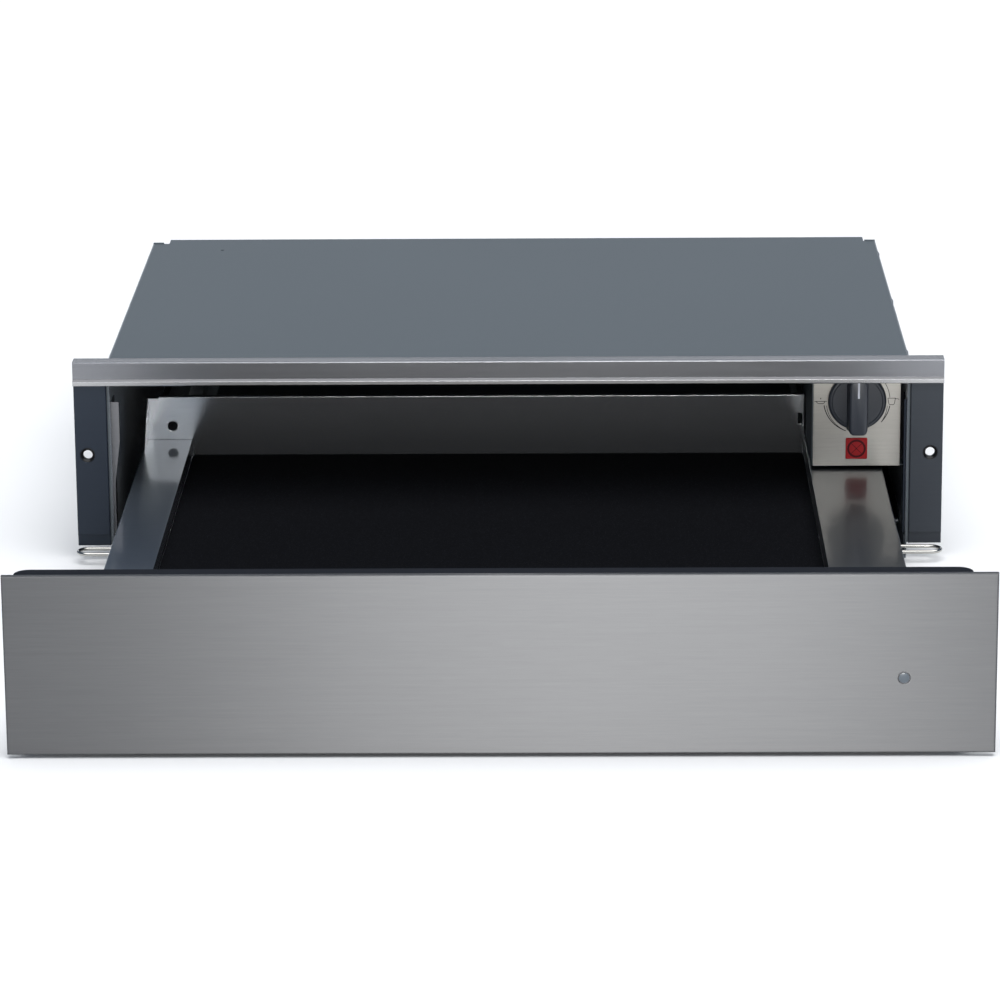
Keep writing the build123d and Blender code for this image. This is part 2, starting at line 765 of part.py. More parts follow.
with BuildPart() as control_plate:
    slab((plate_left, plate_right), (plate_setback, plate_rear), (plate_bottom, ceiling))
    bend_y = (plate_setback, plate_setback + plate_bend)
    slab((plate_left, plate_left + sheet), bend_y, (box_floor_top + bend_relief, ceiling))
    neck_hole = neck_diameter + 2 * hole_clearance
    rod((knob_offset, plate_setback, knob_height), "y", neck_hole, plate_sheet, Mode.SUBTRACT)
    lamp_half = lamp_size / 2 - lamp_lip + hole_clearance
    lamp_x = (knob_offset - lamp_half, knob_offset + lamp_half)
    lamp_z = (lamp_height - lamp_half, lamp_height + lamp_half)
    slab(lamp_x, (plate_setback, plate_rear), lamp_z, Mode.SUBTRACT)
control_plate.part.label = "control_plate"
export_step(control_plate.part, "parts/control_plate.step")

with BuildPart() as component_box_side:
    slab((box_left, plate_left), (plate_rear + bend_relief, top_depth), (box_floor_top, ceiling))
    for start in (louvre_start, top_depth - louvre_setback - louvre_length):
        for row in range(louvre_rows):
            low = louvre_base + row * louvre_pitch
            louvre_y = (start, start + louvre_length)
            slab((box_left, plate_left), louvre_y, (low, low + louvre_height), Mode.SUBTRACT)
component_box_side.part.label = "component_box_side"
export_step(component_box_side.part, "parts/component_box_side.step")

with BuildPart() as component_box_floor:
    slab((box_left, hem_inside), (plate_rear, top_depth), (plate_bottom, box_floor_top))
component_box_floor.part.label = "component_box_floor"
export_step(component_box_floor.part, "parts/component_box_floor.step")

# ---- Thermostat, knob and lamp ----

with BuildPart() as thermostat_body:
    body_width, body_depth, body_height = thermostat_size
    body_x = (knob_offset - body_width / 2, knob_offset + body_width / 2)
    body_z = (knob_height - body_height / 2, knob_height + body_height / 2)
    slab(body_x, (plate_rear, plate_rear + body_depth), body_z)
    fillet(thermostat_body.edges().filter_by(Axis.Y), thermostat_corner)
    rod((knob_offset, plate_setback, knob_height), "y", neck_diameter, plate_sheet)
    spindle_bore = spindle_diameter + 2 * spindle_clearance
    bore_depth = spindle_depth + spindle_end_gap
    rod((knob_offset, plate_setback, knob_height), "y", spindle_bore, bore_depth, Mode.SUBTRACT)
thermostat_body.part.label = "thermostat_body"
export_step(thermostat_body.part, "parts/thermostat_body.step")

with BuildPart() as thermostat_spindle:
    spindle_front = knob_back - spindle_grip
    spindle_length = plate_setback + spindle_depth - spindle_front
    rod((knob_offset, spindle_front, knob_height), "y", spindle_diameter, spindle_length)
    flat_z = (knob_height + spindle_diameter / 2 - spindle_flat, knob_height + spindle_diameter)
    flat_x = (knob_offset - spindle_diameter, knob_offset + spindle_diameter)
    slab(flat_x, (spindle_front, spindle_front + spindle_flat_length), flat_z, Mode.SUBTRACT)
thermostat_spindle.part.label = "thermostat_spindle"
export_step(thermostat_spindle.part, "parts/thermostat_spindle.step")

with BuildPart() as thermostat_knob:
    with BuildSketch(front_plane(knob_back)):
        with Locations((knob_offset, knob_height)):
            Circle(knob_diameter / 2)
    extrude(amount=knob_disc)
    chamfer(thermostat_knob.edges().group_by(Axis.Y)[0], knob_chamfer)
    with BuildSketch(front_plane(knob_back)):
        with BuildLine():
            left_x = knob_offset - grip_width / 2
            right_x = knob_offset + grip_width / 2
            grip_top = knob_height + knob_diameter / 2 - grip_inset
            shoulder_z = grip_top - grip_crown
            tail_z = knob_height - grip_tail
            left_side = Line((left_x, tail_z + tail_taper[1]), (left_x, shoulder_z))
            top_arc = ThreePointArc(left_side @ 1, (knob_offset, grip_top), (right_x, shoulder_z))
            right_side = Line(top_arc @ 1, (right_x, tail_z + tail_taper[1]))
            tail_ends = ((right_x - tail_taper[0], tail_z), (left_x + tail_taper[0], tail_z))
            Polyline(right_side @ 1, *tail_ends, left_side @ 0)
        make_face()
    extrude(amount=knob_reach)
    fillet(thermostat_knob.edges().group_by(Axis.Y)[0], grip_round)
    flat_bore = spindle_diameter + 2 * spindle_clearance
    with BuildSketch(front_plane(knob_back)):
        with Locations((knob_offset, knob_height)):
            Circle(flat_bore / 2)
            keep_top = spindle_diameter / 2 - spindle_flat + spindle_clearance
            with Locations((0, keep_top + flat_bore / 2)):
                Rectangle(flat_bore, flat_bore, mode=Mode.SUBTRACT)
    extrude(amount=spindle_grip + spindle_end_gap, mode=Mode.SUBTRACT)
    round_depth = spindle_grip - spindle_flat_length + spindle_end_gap
    rod((knob_offset, knob_back - round_depth, knob_height), "y", flat_bore, round_depth, Mode.SUBTRACT)
    mark_x = (knob_offset - pointer_width / 2, knob_offset + pointer_width / 2)
    mark_z = (grip_top - pointer_inset - pointer_length, grip_top - pointer_inset)
    slab(mark_x, (knob_front, knob_front + pointer_depth), mark_z, Mode.SUBTRACT)
thermostat_knob.part.label = "thermostat_knob"
export_step(thermostat_knob.part, "parts/thermostat_knob.step")

with BuildPart() as knob_pointer:
    slab(mark_x, (knob_front, knob_front + pointer_depth), mark_z)
knob_pointer.part.label = "knob_pointer"
export_step(knob_pointer.part, "parts/knob_pointer.step")

with BuildPart() as lamp_lens:
    lens_half = lamp_size / 2
    lens_x = (knob_offset - lens_half, knob_offset + lens_half)
    lens_span_z = (lamp_height - lens_half, lamp_height + lens_half)
    slab(lens_x, (plate_setback - lamp_proud, plate_setback), lens_span_z)
    fillet(lamp_lens.edges().group_by(Axis.Y)[0], lamp_round)
    neck_half = lamp_half - hole_clearance
    neck_x = (knob_offset - neck_half, knob_offset + neck_half)
    slab(neck_x, (plate_setback, plate_rear), (lamp_height - neck_half, lamp_height + neck_half))
lamp_lens.part.label = "lamp_lens"
export_step(lamp_lens.part, "parts/lamp_lens.step")

with BuildPart() as lamp_housing:
    slab(neck_x, (plate_rear, plate_rear + lamp_depth), (lamp_height - neck_half, lamp_height + neck_half))
    chamfer(lamp_housing.edges().group_by(Axis.Y)[-1], lamp_chamfer)
    for shift in (-tag_spacing / 2, tag_spacing / 2):
        tag_start = (knob_offset + shift, plate_rear + lamp_depth, lamp_height)
        with Locations(tag_start):
            Box(tag_sheet, tag_length, tag_width, align=(Align.CENTER, Align.MIN, Align.CENTER))
lamp_housing.part.label = "lamp_housing"
export_step(lamp_housing.part, "parts/lamp_housing.step")

# ---- Fan, heater and wiring ----

with BuildPart() as fan_housing:
    half_frame = fan_frame / 2
    frame_y = (fan_start, fan_start + fan_frame_depth)
    frame_x = (box_middle - half_frame, box_middle + half_frame)
    slab(frame_x, frame_y, (box_floor_top, box_floor_top + fan_frame))
    fillet(fan_housing.edges().filter_by(Axis.Y), frame_corner)
    bore = impeller_diameter + 2 * blade_gap
    rod((box_middle, fan_start, fan_axis_z), "y", bore, fan_frame_depth, Mode.SUBTRACT)
fan_housing.part.label = "fan_housing"
export_step(fan_housing.part, "parts/fan_housing.step")

with BuildPart() as fan_impeller:
    hub_y = (fan_start + hub_inset, fan_start + fan_frame_depth - hub_inset)
    rod((box_middle, hub_y[0], fan_axis_z), "y", hub_diameter, hub_y[1] - hub_y[0])
    blade_length = (impeller_diameter - hub_diameter) / 2 + blade_root
    blade_middle = impeller_diameter / 2 - blade_tip_drop - blade_length / 2
    for number in range(blade_count):
        hub_centre = (box_middle, (hub_y[0] + hub_y[1]) / 2, fan_axis_z)
        spoke = Location(hub_centre, (0, number * 360 / blade_count, 0))
        with Locations(spoke * Location((0, 0, blade_middle), (0, 0, blade_pitch))):
            Box(blade_thickness, blade_width, blade_length)
    rod((box_middle, hub_y[0] + hub_cap, fan_axis_z), "y", shaft_diameter, fan_frame_depth, Mode.SUBTRACT)
fan_impeller.part.label = "fan_impeller"
export_step(fan_impeller.part, "parts/fan_impeller.step")

with BuildPart() as fan_shaft:
    shaft_start = hub_y[0] + hub_cap
    shaft_end = motor_end - motor_wall - shaft_end_play
    rod((box_middle, shaft_start, fan_axis_z), "y", shaft_diameter, shaft_end - shaft_start)
fan_shaft.part.label = "fan_shaft"
export_step(fan_shaft.part, "parts/fan_shaft.step")

with BuildPart() as fan_motor:
    rod((box_middle, motor_start, fan_axis_z), "y", motor_diameter, motor_length)
    fillet(fan_motor.edges(), motor_round)
    shaft_bore = shaft_diameter + 2 * spindle_clearance
    rod((box_middle, motor_start, fan_axis_z), "y", shaft_bore, motor_length - motor_wall, Mode.SUBTRACT)
fan_motor.part.label = "fan_motor"
export_step(fan_motor.part, "parts/fan_motor.step")

with BuildPart() as motor_bracket:
    bracket_half = motor_diameter / 2 + motor_bracket_margin
    bracket_x = (box_middle - bracket_half, box_middle + bracket_half)
    slab(bracket_x, (motor_end, motor_end + sheet), (box_floor_top, fan_axis_z + motor_diameter / 2))
    slab(bracket_x, (motor_end, motor_end + hem), (box_floor_top, box_floor_top + sheet))
motor_bracket.part.label = "motor_bracket"
export_step(motor_bracket.part, "parts/motor_bracket.step")

with BuildPart() as heating_element:
    leg_left = box_middle - element_spacing / 2
    leg_right = box_middle + element_spacing / 2
    with BuildLine(Plane.XY.offset(fan_axis_z)) as element_path:
        bend_y = element_start + element_spacing / 2
        first = Line((leg_left, element_end), (leg_left, bend_y))
        turn = RadiusArc(first @ 1, (leg_right, bend_y), element_spacing / 2)
        Line(turn @ 1, (leg_right, element_end))
    with BuildSketch(Plane(origin=element_path.line @ 0, z_dir=element_path.line % 0)):
        Circle(element_diameter / 2)
    sweep(path=element_path.line)
heating_element.part.label = "heating_element"
export_step(heating_element.part, "parts/heating_element.step")

with BuildPart() as element_bracket:
    span_x = (leg_left - element_bracket_margin, leg_right + element_bracket_margin)
    plate_y = (element_bracket_at, element_bracket_at + sheet)
    slab(span_x, plate_y, (box_floor_top, fan_axis_z + element_bracket_margin))
    slab(span_x, (element_bracket_at - hem, element_bracket_at), (box_floor_top, box_floor_top + sheet))
    for x in (leg_left, leg_right):
        hole = element_diameter + 2 * hole_clearance
        rod((x, element_bracket_at, fan_axis_z), "y", hole, sheet, Mode.SUBTRACT)
element_bracket.part.label = "element_bracket"
export_step(element_bracket.part, "parts/element_bracket.step")

with BuildPart() as thermal_cutout:
    rod((box_middle, cutout_at, box_floor_top), "z", cutout_diameter, cutout_height)
    fillet(thermal_cutout.edges().group_by(Axis.Z)[-1], cutout_round)
    for shift in (-tag_spacing / 2, tag_spacing / 2):
        with Locations((box_middle + shift, cutout_at, box_floor_top + cutout_height)):
            Box(tag_sheet, tag_width, tag_length, align=(Align.CENTER, Align.CENTER, Align.MIN))
thermal_cutout.part.label = "thermal_cutout"
export_step(thermal_cutout.part, "parts/thermal_cutout.step")

with BuildPart() as terminal_block:
    block_width, block_depth, block_height = block_size
    block_at = top_depth - block_setback
    block_x = (box_middle - block_width / 2, box_middle + block_width / 2)
    slab(block_x, (block_at, block_at + block_depth), (box_floor_top, box_floor_top + block_height))
    fillet(terminal_block.edges().filter_by(Axis.Z), block_corner)
    for way in (-1, 0, 1):
        way_bottom = box_floor_top + block_height - block_way[1]
        way_at = (box_middle + way * block_width / 3, block_at + block_depth / 2, way_bottom)
        rod(way_at, "z", *block_way, Mode.SUBTRACT)
terminal_block.part.label = "terminal_block"
export_step(terminal_block.part, "parts/terminal_block.step")

with BuildPart() as wiring_harness:
    loom_end = plate_rear + body_depth
    loom_low = box_floor_top + block_height / 2
    with BuildLine() as loom_path:
        FilletPolyline(
            (box_middle, block_at, loom_low),
            (box_middle, block_at - loom_drop, loom_low),
            (box_middle, block_at - loom_drop, loom_height),
            (box_middle, loom_end + loom_drop, loom_height),
            (box_middle, loom_end + loom_drop, knob_height),
            (box_middle, loom_end, knob_height),
            radius=loom_bend,
        )
    with BuildSketch(Plane(origin=loom_path.line @ 0, z_dir=loom_path.line % 0)):
        Circle(loom_diameter / 2)
    sweep(path=loom_path.line)
wiring_harness.part.label = "wiring_harness"
export_step(wiring_harness.part, "parts/wiring_harness.step")

with BuildPart() as harness_clip:
    clip_y = (fan_start + loom_clip_at, fan_start + loom_clip_at + loom_clip_width)
    clip_x = (box_middle - loom_diameter, box_middle + loom_diameter)
    slab(clip_x, clip_y, (box_floor_top + fan_frame, loom_height + loom_diameter / 2 + loom_clip_wall))
    loom_hole = loom_diameter + 2 * hole_clearance
    rod((box_middle, clip_y[0], loom_height), "y", loom_hole, loom_clip_width, Mode.SUBTRACT)
harness_clip.part.label = "harness_clip"
export_step(harness_clip.part, "parts/harness_clip.step")

with BuildPart() as cable_gland:
    thread = gland_thread - 2 * hole_clearance
    gland_front = top_depth - gland_flange_depth
    rod((box_middle, gland_front, gland_height), "y", gland_flange, gland_flange_depth)
    rod((box_middle, top_depth, gland_height), "y", thread, sheet)
    with Locations(Location((box_middle, top_depth + sheet, gland_height), (-90, 0, 0))):
        Cone(gland_flange / 2, thread / 2, gland_dome, align=(Align.CENTER, Align.CENTER, Align.MIN))
    gland_length = gland_flange_depth + sheet + gland_dome
    rod((box_middle, gland_front, gland_height), "y", gland_bore, gland_length, Mode.SUBTRACT)
cable_gland.part.label = "cable_gland"
export_step(cable_gland.part, "parts/cable_gland.step")

print("closed depth", case_depth + front_closed)
print("mat top", floor_top + mat_thickness)
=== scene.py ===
import math
import bmesh
import bpy
from mathutils import Matrix, Vector


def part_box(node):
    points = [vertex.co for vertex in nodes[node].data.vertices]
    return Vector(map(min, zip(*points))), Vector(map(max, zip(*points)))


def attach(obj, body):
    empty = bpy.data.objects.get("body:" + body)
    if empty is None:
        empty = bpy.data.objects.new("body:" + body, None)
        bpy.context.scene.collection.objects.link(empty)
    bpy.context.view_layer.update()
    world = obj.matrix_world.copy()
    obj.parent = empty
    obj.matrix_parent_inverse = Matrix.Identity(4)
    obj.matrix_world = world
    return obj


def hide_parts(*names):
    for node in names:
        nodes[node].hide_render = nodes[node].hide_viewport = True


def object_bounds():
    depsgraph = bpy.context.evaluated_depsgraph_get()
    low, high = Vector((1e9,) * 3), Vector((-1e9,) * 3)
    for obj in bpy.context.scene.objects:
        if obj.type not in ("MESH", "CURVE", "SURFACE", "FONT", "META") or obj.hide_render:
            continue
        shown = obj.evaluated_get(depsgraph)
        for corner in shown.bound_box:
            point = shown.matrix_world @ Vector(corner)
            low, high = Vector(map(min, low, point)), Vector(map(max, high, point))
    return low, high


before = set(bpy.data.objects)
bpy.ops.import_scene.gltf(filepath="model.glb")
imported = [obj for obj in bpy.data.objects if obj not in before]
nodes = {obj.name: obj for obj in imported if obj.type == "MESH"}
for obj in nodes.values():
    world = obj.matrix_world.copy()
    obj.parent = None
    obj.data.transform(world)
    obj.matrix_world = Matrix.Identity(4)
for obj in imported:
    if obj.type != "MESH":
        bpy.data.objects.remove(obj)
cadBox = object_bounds()
mm = 0.001
print("frame loaded,", len(nodes), "nodes")


class Wire:
    # one socket of a node, usable in sums like a number
    def __init__(self, owner, socket):
        self.owner = owner
        self.socket = socket

    def maths(self, operation, *others):
        return self.owner.add("ShaderNodeMath", {"operation": operation}, [self, *others])

    def __add__(self, other):
        return self.maths("ADD", other)

    def __radd__(self, other):
        return self.maths("ADD", other)

    def __sub__(self, other):
        return self.maths("SUBTRACT", other)

    def __rsub__(self, other):
        return self.owner.add("ShaderNodeMath", {"operation": "SUBTRACT"}, [other, self])

    def __mul__(self, other):
        return self.maths("MULTIPLY", other)

    def __rmul__(self, other):
        return self.maths("MULTIPLY", other)

    def __truediv__(self, other):
        return self.maths("DIVIDE", other)

    def __gt__(self, other):
        return self.maths("GREATER_THAN", other)


class Tree:
    # a node tree being made, with one method for every kind of node
    def add(self, kind, settings=None, inputs=None, output=0):
        node = self.tree.nodes.new(kind)
        for key, value in (settings or {}).items():
            if key == "stops":
                self.setStops(node.color_ramp, value)
            else:
                setattr(node, key, value)
        pairs = inputs.items() if isinstance(inputs, dict) else enumerate(inputs or [])
        for key, value in pairs:
            if isinstance(value, Wire):
                self.tree.links.new(value.socket, node.inputs[key])
            elif value is not None:
                node.inputs[key].default_value = value
        return Wire(self, node.outputs[output])

    def setStops(self, ramp, stops):
        for element, (at, grey) in zip(ramp.elements, stops):
            element.position = at
            element.color = (grey, grey, grey, 1)


class Look(Tree):
    # one material, whose patterns lie in the object's own coordinates
    def __init__(self, name):
        self.material = bpy.data.materials.new(name)
        self.material.use_nodes = True
        self.tree = self.material.node_tree
        self.tree.nodes.clear()
        self.output = self.tree.nodes.new("ShaderNodeOutputMaterial")

    def place(self, scale):
        inputs = {"Vector": self.add("ShaderNodeTexCoord", output="Object"), "Scale": scale}
        return self.add("ShaderNodeMapping", {"vector_type": "POINT"}, inputs)

    def grains(self, size):
        # a place for a pattern whose grains are about this wide, in millimetres
        return self.place([1 / (size * mm)] * 3)

    def coordinate(self, axis):
        place = self.add("ShaderNodeTexCoord", output="Object")
        return self.add("ShaderNodeSeparateXYZ", {}, [place], output=axis)

    def noise(self, where, detail=2, roughness=0.5):
        inputs = {"Vector": where, "Scale": 1.0, "Detail": detail, "Roughness": roughness}
        return self.add("ShaderNodeTexNoise", {}, inputs)

    def ramp(self, value, low, high):
        # black up to the low value and white from the high one
        return self.add("ShaderNodeValToRGB", {"stops": [(low, 0), (high, 1)]}, [value])

    def blend(self, share, low, high):
        # 6, 7 and 2 are the sockets that carry a colour
        settings = {"data_type": "RGBA", "clamp_factor": True}
        return self.add("ShaderNodeMix", settings, {0: share, 6: low, 7: high}, output=2)

    def toned(self, share, look):
        # a look's colour, from darker to lighter by its spread
        colour, spread = look["colour"], look["spread"]
        return self.blend(share, rgb(colour, 1 - spread), rgb(colour, 1 + spread))

    def edges(self, radius):
        # the small radius of bent and cut sheet edges, which catches the light
        return self.add("ShaderNodeBevel", {"samples": 6}, {"Radius": radius * mm})

    def bump(self, height, strength, depth, normal=None):
        inputs = {"Height": height, "Strength": strength, "Distance": depth * mm, "Normal": normal}
        return self.add("ShaderNodeBump", {}, inputs)

    def finish(self, inputs):
        shader = self.add("ShaderNodeBsdfPrincipled", {}, inputs)
        self.tree.links.new(shader.socket, self.output.inputs["Surface"])
        return self.material


class Recipe(Tree):
    # one geometry tree with named sizes in metres
    def __init__(self, name, sizes):
        self.tree = bpy.data.node_groups.new(name, "GeometryNodeTree")
        self.tree.interface.new_socket("Geometry", in_out="INPUT", socket_type="NodeSocketGeometry")
        for label in sizes:
            self.tree.interface.new_socket(label, in_out="INPUT", socket_type="NodeSocketFloat")
        self.tree.interface.new_socket("Geometry", in_out="OUTPUT", socket_type="NodeSocketGeometry")
        self.entry = self.tree.nodes.new("NodeGroupInput")
        self.sizes = sizes

    def given(self, label):
        return Wire(self, self.entry.outputs[label])

    def vector(self, **parts):
        return self.add("ShaderNodeCombineXYZ", {}, parts)

    def shifted(self, geometry, offset):
        return self.add("GeometryNodeTransform", {}, {"Geometry": geometry, "Translation": offset})

    def deliver(self, geometry, material):
        whole = self.add("GeometryNodeRealizeInstances", {}, [geometry])
        painted = self.add("GeometryNodeSetMaterial", {}, {"Geometry": whole, "Material": material})
        leave = self.tree.nodes.new("NodeGroupOutput")
        self.tree.links.new(painted.socket, leave.inputs[0])

    def bake(self, name, base):
        # runs the tree on a base mesh and returns the plain result
        source = bpy.data.objects.new(name, base)
        bpy.context.scene.collection.objects.link(source)
        modifier = source.modifiers.new("recipe", "NODES")
        modifier.node_group = self.tree
        for item in self.tree.interface.items_tree:
            if item.in_out == "INPUT" and item.name in self.sizes:
                modifier[item.identifier] = float(self.sizes[item.name])
        evaluated = source.evaluated_get(bpy.context.evaluated_depsgraph_get())
        mesh = bpy.data.meshes.new_from_object(evaluated)
        bpy.data.objects.remove(source)
        return mesh


def rgb(colour, factor=1.0):
    return (*(part * factor for part in colour), 1)


def boxOf(nodeName):
    # a node's lowest and highest corner, in millimetres
    low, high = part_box(nodeName)
    return Vector(low) / mm, Vector(high) / mm


# brushed metal: fine and broad scratches along one axis with slow cloudy wear, mixed by the shares
brush = {"broadLength": 5, "broadWidth": 7, "cloudScale": 9, "shares": (0.55, 0.3, 0.15),
         "contrast": (0.3, 0.7), "raggedness": 0.6, "depthOfWidth": 0.05, "streakTurn": 0.25,
         "coatRoughness": 0.10}


def brushedMetal(name, look):
    finish = Look(name)
    along = "xyz".index(look["along"])

    def scratches(length, width, detail):
        scale = [1 / (width * mm)] * 3
        scale[along] = 1 / (length * mm)
        return finish.noise(finish.place(scale), detail, brush["raggedness"])

    fine = scratches(look["length"], look["width"], detail=3)
    broadLength, broadWidth = look["length"] * brush["broadLength"], look["width"] * brush["broadWidth"]
    broad = scratches(broadLength, broadWidth, detail=2)
    cloud = finish.noise(finish.place([brush["cloudScale"]] * 3))
    fineShare, broadShare, cloudShare = brush["shares"]
    grain = fine * fineShare + broad * broadShare + cloud * cloudShare
    colour = finish.toned(finish.ramp(grain, *brush["contrast"]), look)
    for bandTop, bandColour in look["bands"]:
        colour = finish.blend(finish.coordinate("Z") > bandTop * mm, rgb(bandColour), colour)
    depth = look["width"] * brush["depthOfWidth"]
    return finish.finish({
        "Base Color": colour,
        "Metallic": look["metallic"],
        "Roughness": look["rough"] + (grain - 0.5) * look["roughSpread"],
        "Anisotropic": look["streak"],
        "Anisotropic Rotation": brush["streakTurn"],
        "Coat Weight": look["coat"],
        "Coat Roughness": brush["coatRoughness"],
        "Normal": finish.bump(fine, look["relief"], depth, finish.edges(look["edge"])),
    })


# paint over sheet metal: fine grain, marks drawn out along X and slow mottling, mixed by the shares
paint = {"drawnScale": (12, 700, 700), "mottleScale": 6, "shares": (0.45, 0.3, 0.25),
         "contrast": (0.32, 0.68), "raggedness": 0.6, "depth": 0.03}


def coatedSheet(name, look):
    finish = Look(name)
    grain = finish.noise(finish.grains(look["grain"]), detail=3, roughness=paint["raggedness"])
    drawn = finish.noise(finish.place(paint["drawnScale"]), detail=2, roughness=paint["raggedness"])
    mottle = finish.noise(finish.place([paint["mottleScale"]] * 3), detail=3)
    grainShare, drawnShare, mottleShare = paint["shares"]
    mixed = grain * grainShare + drawn * drawnShare + mottle * mottleShare
    colour = finish.toned(finish.ramp(mixed, *paint["contrast"]), look)
    # inside faces of the sides take a lighter colour: painted light for the light that reaches the gaps
    # beside the drawer
    if "bareWithin" in look:
        outside = finish.coordinate("X").maths("ABSOLUTE") > look["bareWithin"] * mm
        colour = finish.blend(outside, rgb(look["bareColour"]), colour)
    return finish.finish({
        "Base Color": colour,
        "Metallic": look["metallic"],
        "Roughness": look["rough"] + (mixed - 0.5) * look["roughSpread"],
        "Specular IOR Level": look["specular"],
        "Specular Tint": rgb(look["tint"]),
        "Normal": finish.bump(grain, look["relief"], paint["depth"], finish.edges(look["edge"])),
    })


# anti-slip mat: dark moulded rubber with tiny raised dots and light specks
mat = {"colour": (0.0020, 0.0022, 0.0032), "speckColour": (0.018, 0.020, 0.026), "dot": 1.1, "speck": 0.8,
       "speckContrast": (0.60, 0.72), "speckShare": 0.5, "speckGloss": 0.15, "rough": 0.85, "specular": 0.06,
       "relief": 0.4, "depth": 0.12}


def speckledRubber(name, look):
    finish = Look(name)
    dots = {"Vector": finish.grains(look["dot"]), "Scale": 1.0}
    cells = finish.add("ShaderNodeTexVoronoi", {"feature": "F1"}, dots)
    lit = finish.ramp(finish.noise(finish.grains(look["speck"]), detail=1), *look["speckContrast"])
    return finish.finish({
        "Base Color": finish.blend(lit * look["speckShare"], rgb(look["colour"]), rgb(look["speckColour"])),
        "Roughness": look["rough"] - lit * look["speckGloss"],
        "Specular IOR Level": look["specular"],
        "Normal": finish.bump(1 - cells, look["relief"], look["depth"]),
    })


# plain plastic: spark-eroded grain and a little handling gloss
moulding = {"wearScale": 40, "wearGloss": 0.12, "coatRoughness": 0.12, "depth": 0.02}


def mouldedPlastic(name, look):
    finish = Look(name)
    grain = finish.noise(finish.grains(look["grain"]))
    worn = finish.noise(finish.place([moulding["wearScale"]] * 3), detail=3)
    return finish.finish({
        "Base Color": finish.toned(worn, look),
        "Roughness": look["rough"] + (worn - 0.5) * moulding["wearGloss"],
        "Coat Weight": look["coat"],
        "Coat Roughness": moulding["coatRoughness"],
        "Specular IOR Level": look["specular"],
        "Normal": finish.bump(grain, look["relief"], moulding["depth"]),
    })


# colours that change at a height or at a distance from the middle, in millimetres: the skirts under the rims,
# the trim's slope and lip, and a lighter colour on the inner face of the case's sides, which is painted light
# standing in for the light that reaches the gaps beside the drawer
tones = {"skirtDrop": 0.9, "skirt": (0.15, 0.16, 0.175), "slopeTop": 4.55, "slope": (0.115, 0.115, 0.12),
         "lipTop": 3.1, "lip": (0.42, 0.42, 0.425), "litFaceDepth": 0.06, "insideLight": (0.72, 0.76, 0.80)}
rimBands = [(boxOf("left_side_channel")[1].z - tones["skirtDrop"], tones["skirt"])]
trimBottom = boxOf("top_trim")[0].z
# the trim's slope is painted darker, as painted shade, and its lip lighter, as a painted highlight, on the
# same steel
trimShadeAndHighlightBands = [(trimBottom + tones["slopeTop"], tones["slope"]), (trimBottom + tones["lipTop"], tones["lip"])]
litInsideFaces = {"bareWithin": boxOf("case_bottom")[1].x + tones["litFaceDepth"], "bareColour": tones["insideLight"]}

# every finish: what its kind has in common, and then what is its own
metal = {"along": "x", "length": 22, "width": 0.28, "colour": (0.141, 0.142, 0.145), "spread": 0.10,
         "rough": 0.38, "roughSpread": 0.10, "relief": 0.15, "streak": 0.0, "coat": 0.0, "metallic": 1.0,
         "edge": 0.35, "bands": []}
rim = {"roughSpread": 0.08, "relief": 0.12, "width": 0.35, "edge": 0.7, "bands": rimBands}
metalLooks = {
    "frontSteel": {"streak": 0.95, "edge": 0.9},
    "trimSteel": {"colour": (0.215, 0.22, 0.235), "rough": 0.25, "roughSpread": 0.06, "relief": 0.06,
                  "streak": 0.3, "bands": trimShadeAndHighlightBands},
    "plateSteel": {"colour": (0.415, 0.398, 0.365), "rough": 0.34, "width": 0.2, "length": 9},
    "rimSteel": {**rim, "colour": (0.195, 0.23, 0.28), "rough": 0.43, "coat": 1.0},
    # the right channel is the same steel as the left, painted darker: painted shade standing in for the dark
    # reflection it shows
    "shadedWideRimSteel": {**rim, "colour": (0.082, 0.090, 0.100), "rough": 0.36, "coat": 0.3},
    "wallSteel": {"colour": (0.49, 0.50, 0.51), "rough": 0.16, "roughSpread": 0.05, "relief": 0.04,
                  "width": 0.35, "metallic": 0.9, "edge": 0.6},
    "zinc": {"along": "y", "colour": (0.50, 0.52, 0.54), "rough": 0.34, "spread": 0.14, "width": 0.6,
             "length": 12},
    "darkSteel": {"colour": (0.20, 0.20, 0.21), "rough": 0.42},
    "brass": {"colour": (0.66, 0.50, 0.22), "rough": 0.3},
    "chrome": {"colour": (0.50, 0.49, 0.46), "rough": 0.12, "roughSpread": 0.05, "relief": 0.05,
               "spread": 0.04},
}

sheet = {"spread": 0.10, "grain": 0.4, "roughSpread": 0.12, "metallic": 0.0, "specular": 0.4, "relief": 0.12,
         "edge": 0.4, "tint": (1, 1, 1)}
greyBlue = {"colour": (0.107, 0.127, 0.142), "spread": 0.07, "grain": 0.5, "metallic": 0.25}
sheetLooks = {
    "caseSheet": {**greyBlue, "rough": 0.50, "roughSpread": 0.15, "relief": 0.15},
    "flangeBlack": {"colour": (0.013, 0.017, 0.028), "spread": 0.12, "rough": 0.34, "edge": 0.9,
                    "tint": (0.75, 0.88, 1.0)},
    # the right flange has the same black paint as the left, made lighter as a painted reflection
    "litFlangeBlack": {"colour": (0.024, 0.027, 0.034), "spread": 0.12, "rough": 0.36, "edge": 0.9,
                   "specular": 0.45, "tint": (0.85, 0.93, 1.0)},
    "bushBlack": {"colour": (0.004, 0.004, 0.005), "rough": 0.30, "roughSpread": 0.05, "specular": 0.3,
                  "relief": 0.05},
    "sideSheet": {**greyBlue, **litInsideFaces, "rough": 0.30, "roughSpread": 0.10, "specular": 0.6,
                  "relief": 0.10},
    "linerBlack": {"colour": (0.006, 0.0075, 0.012), "rough": 0.55, "specular": 0.08},
}

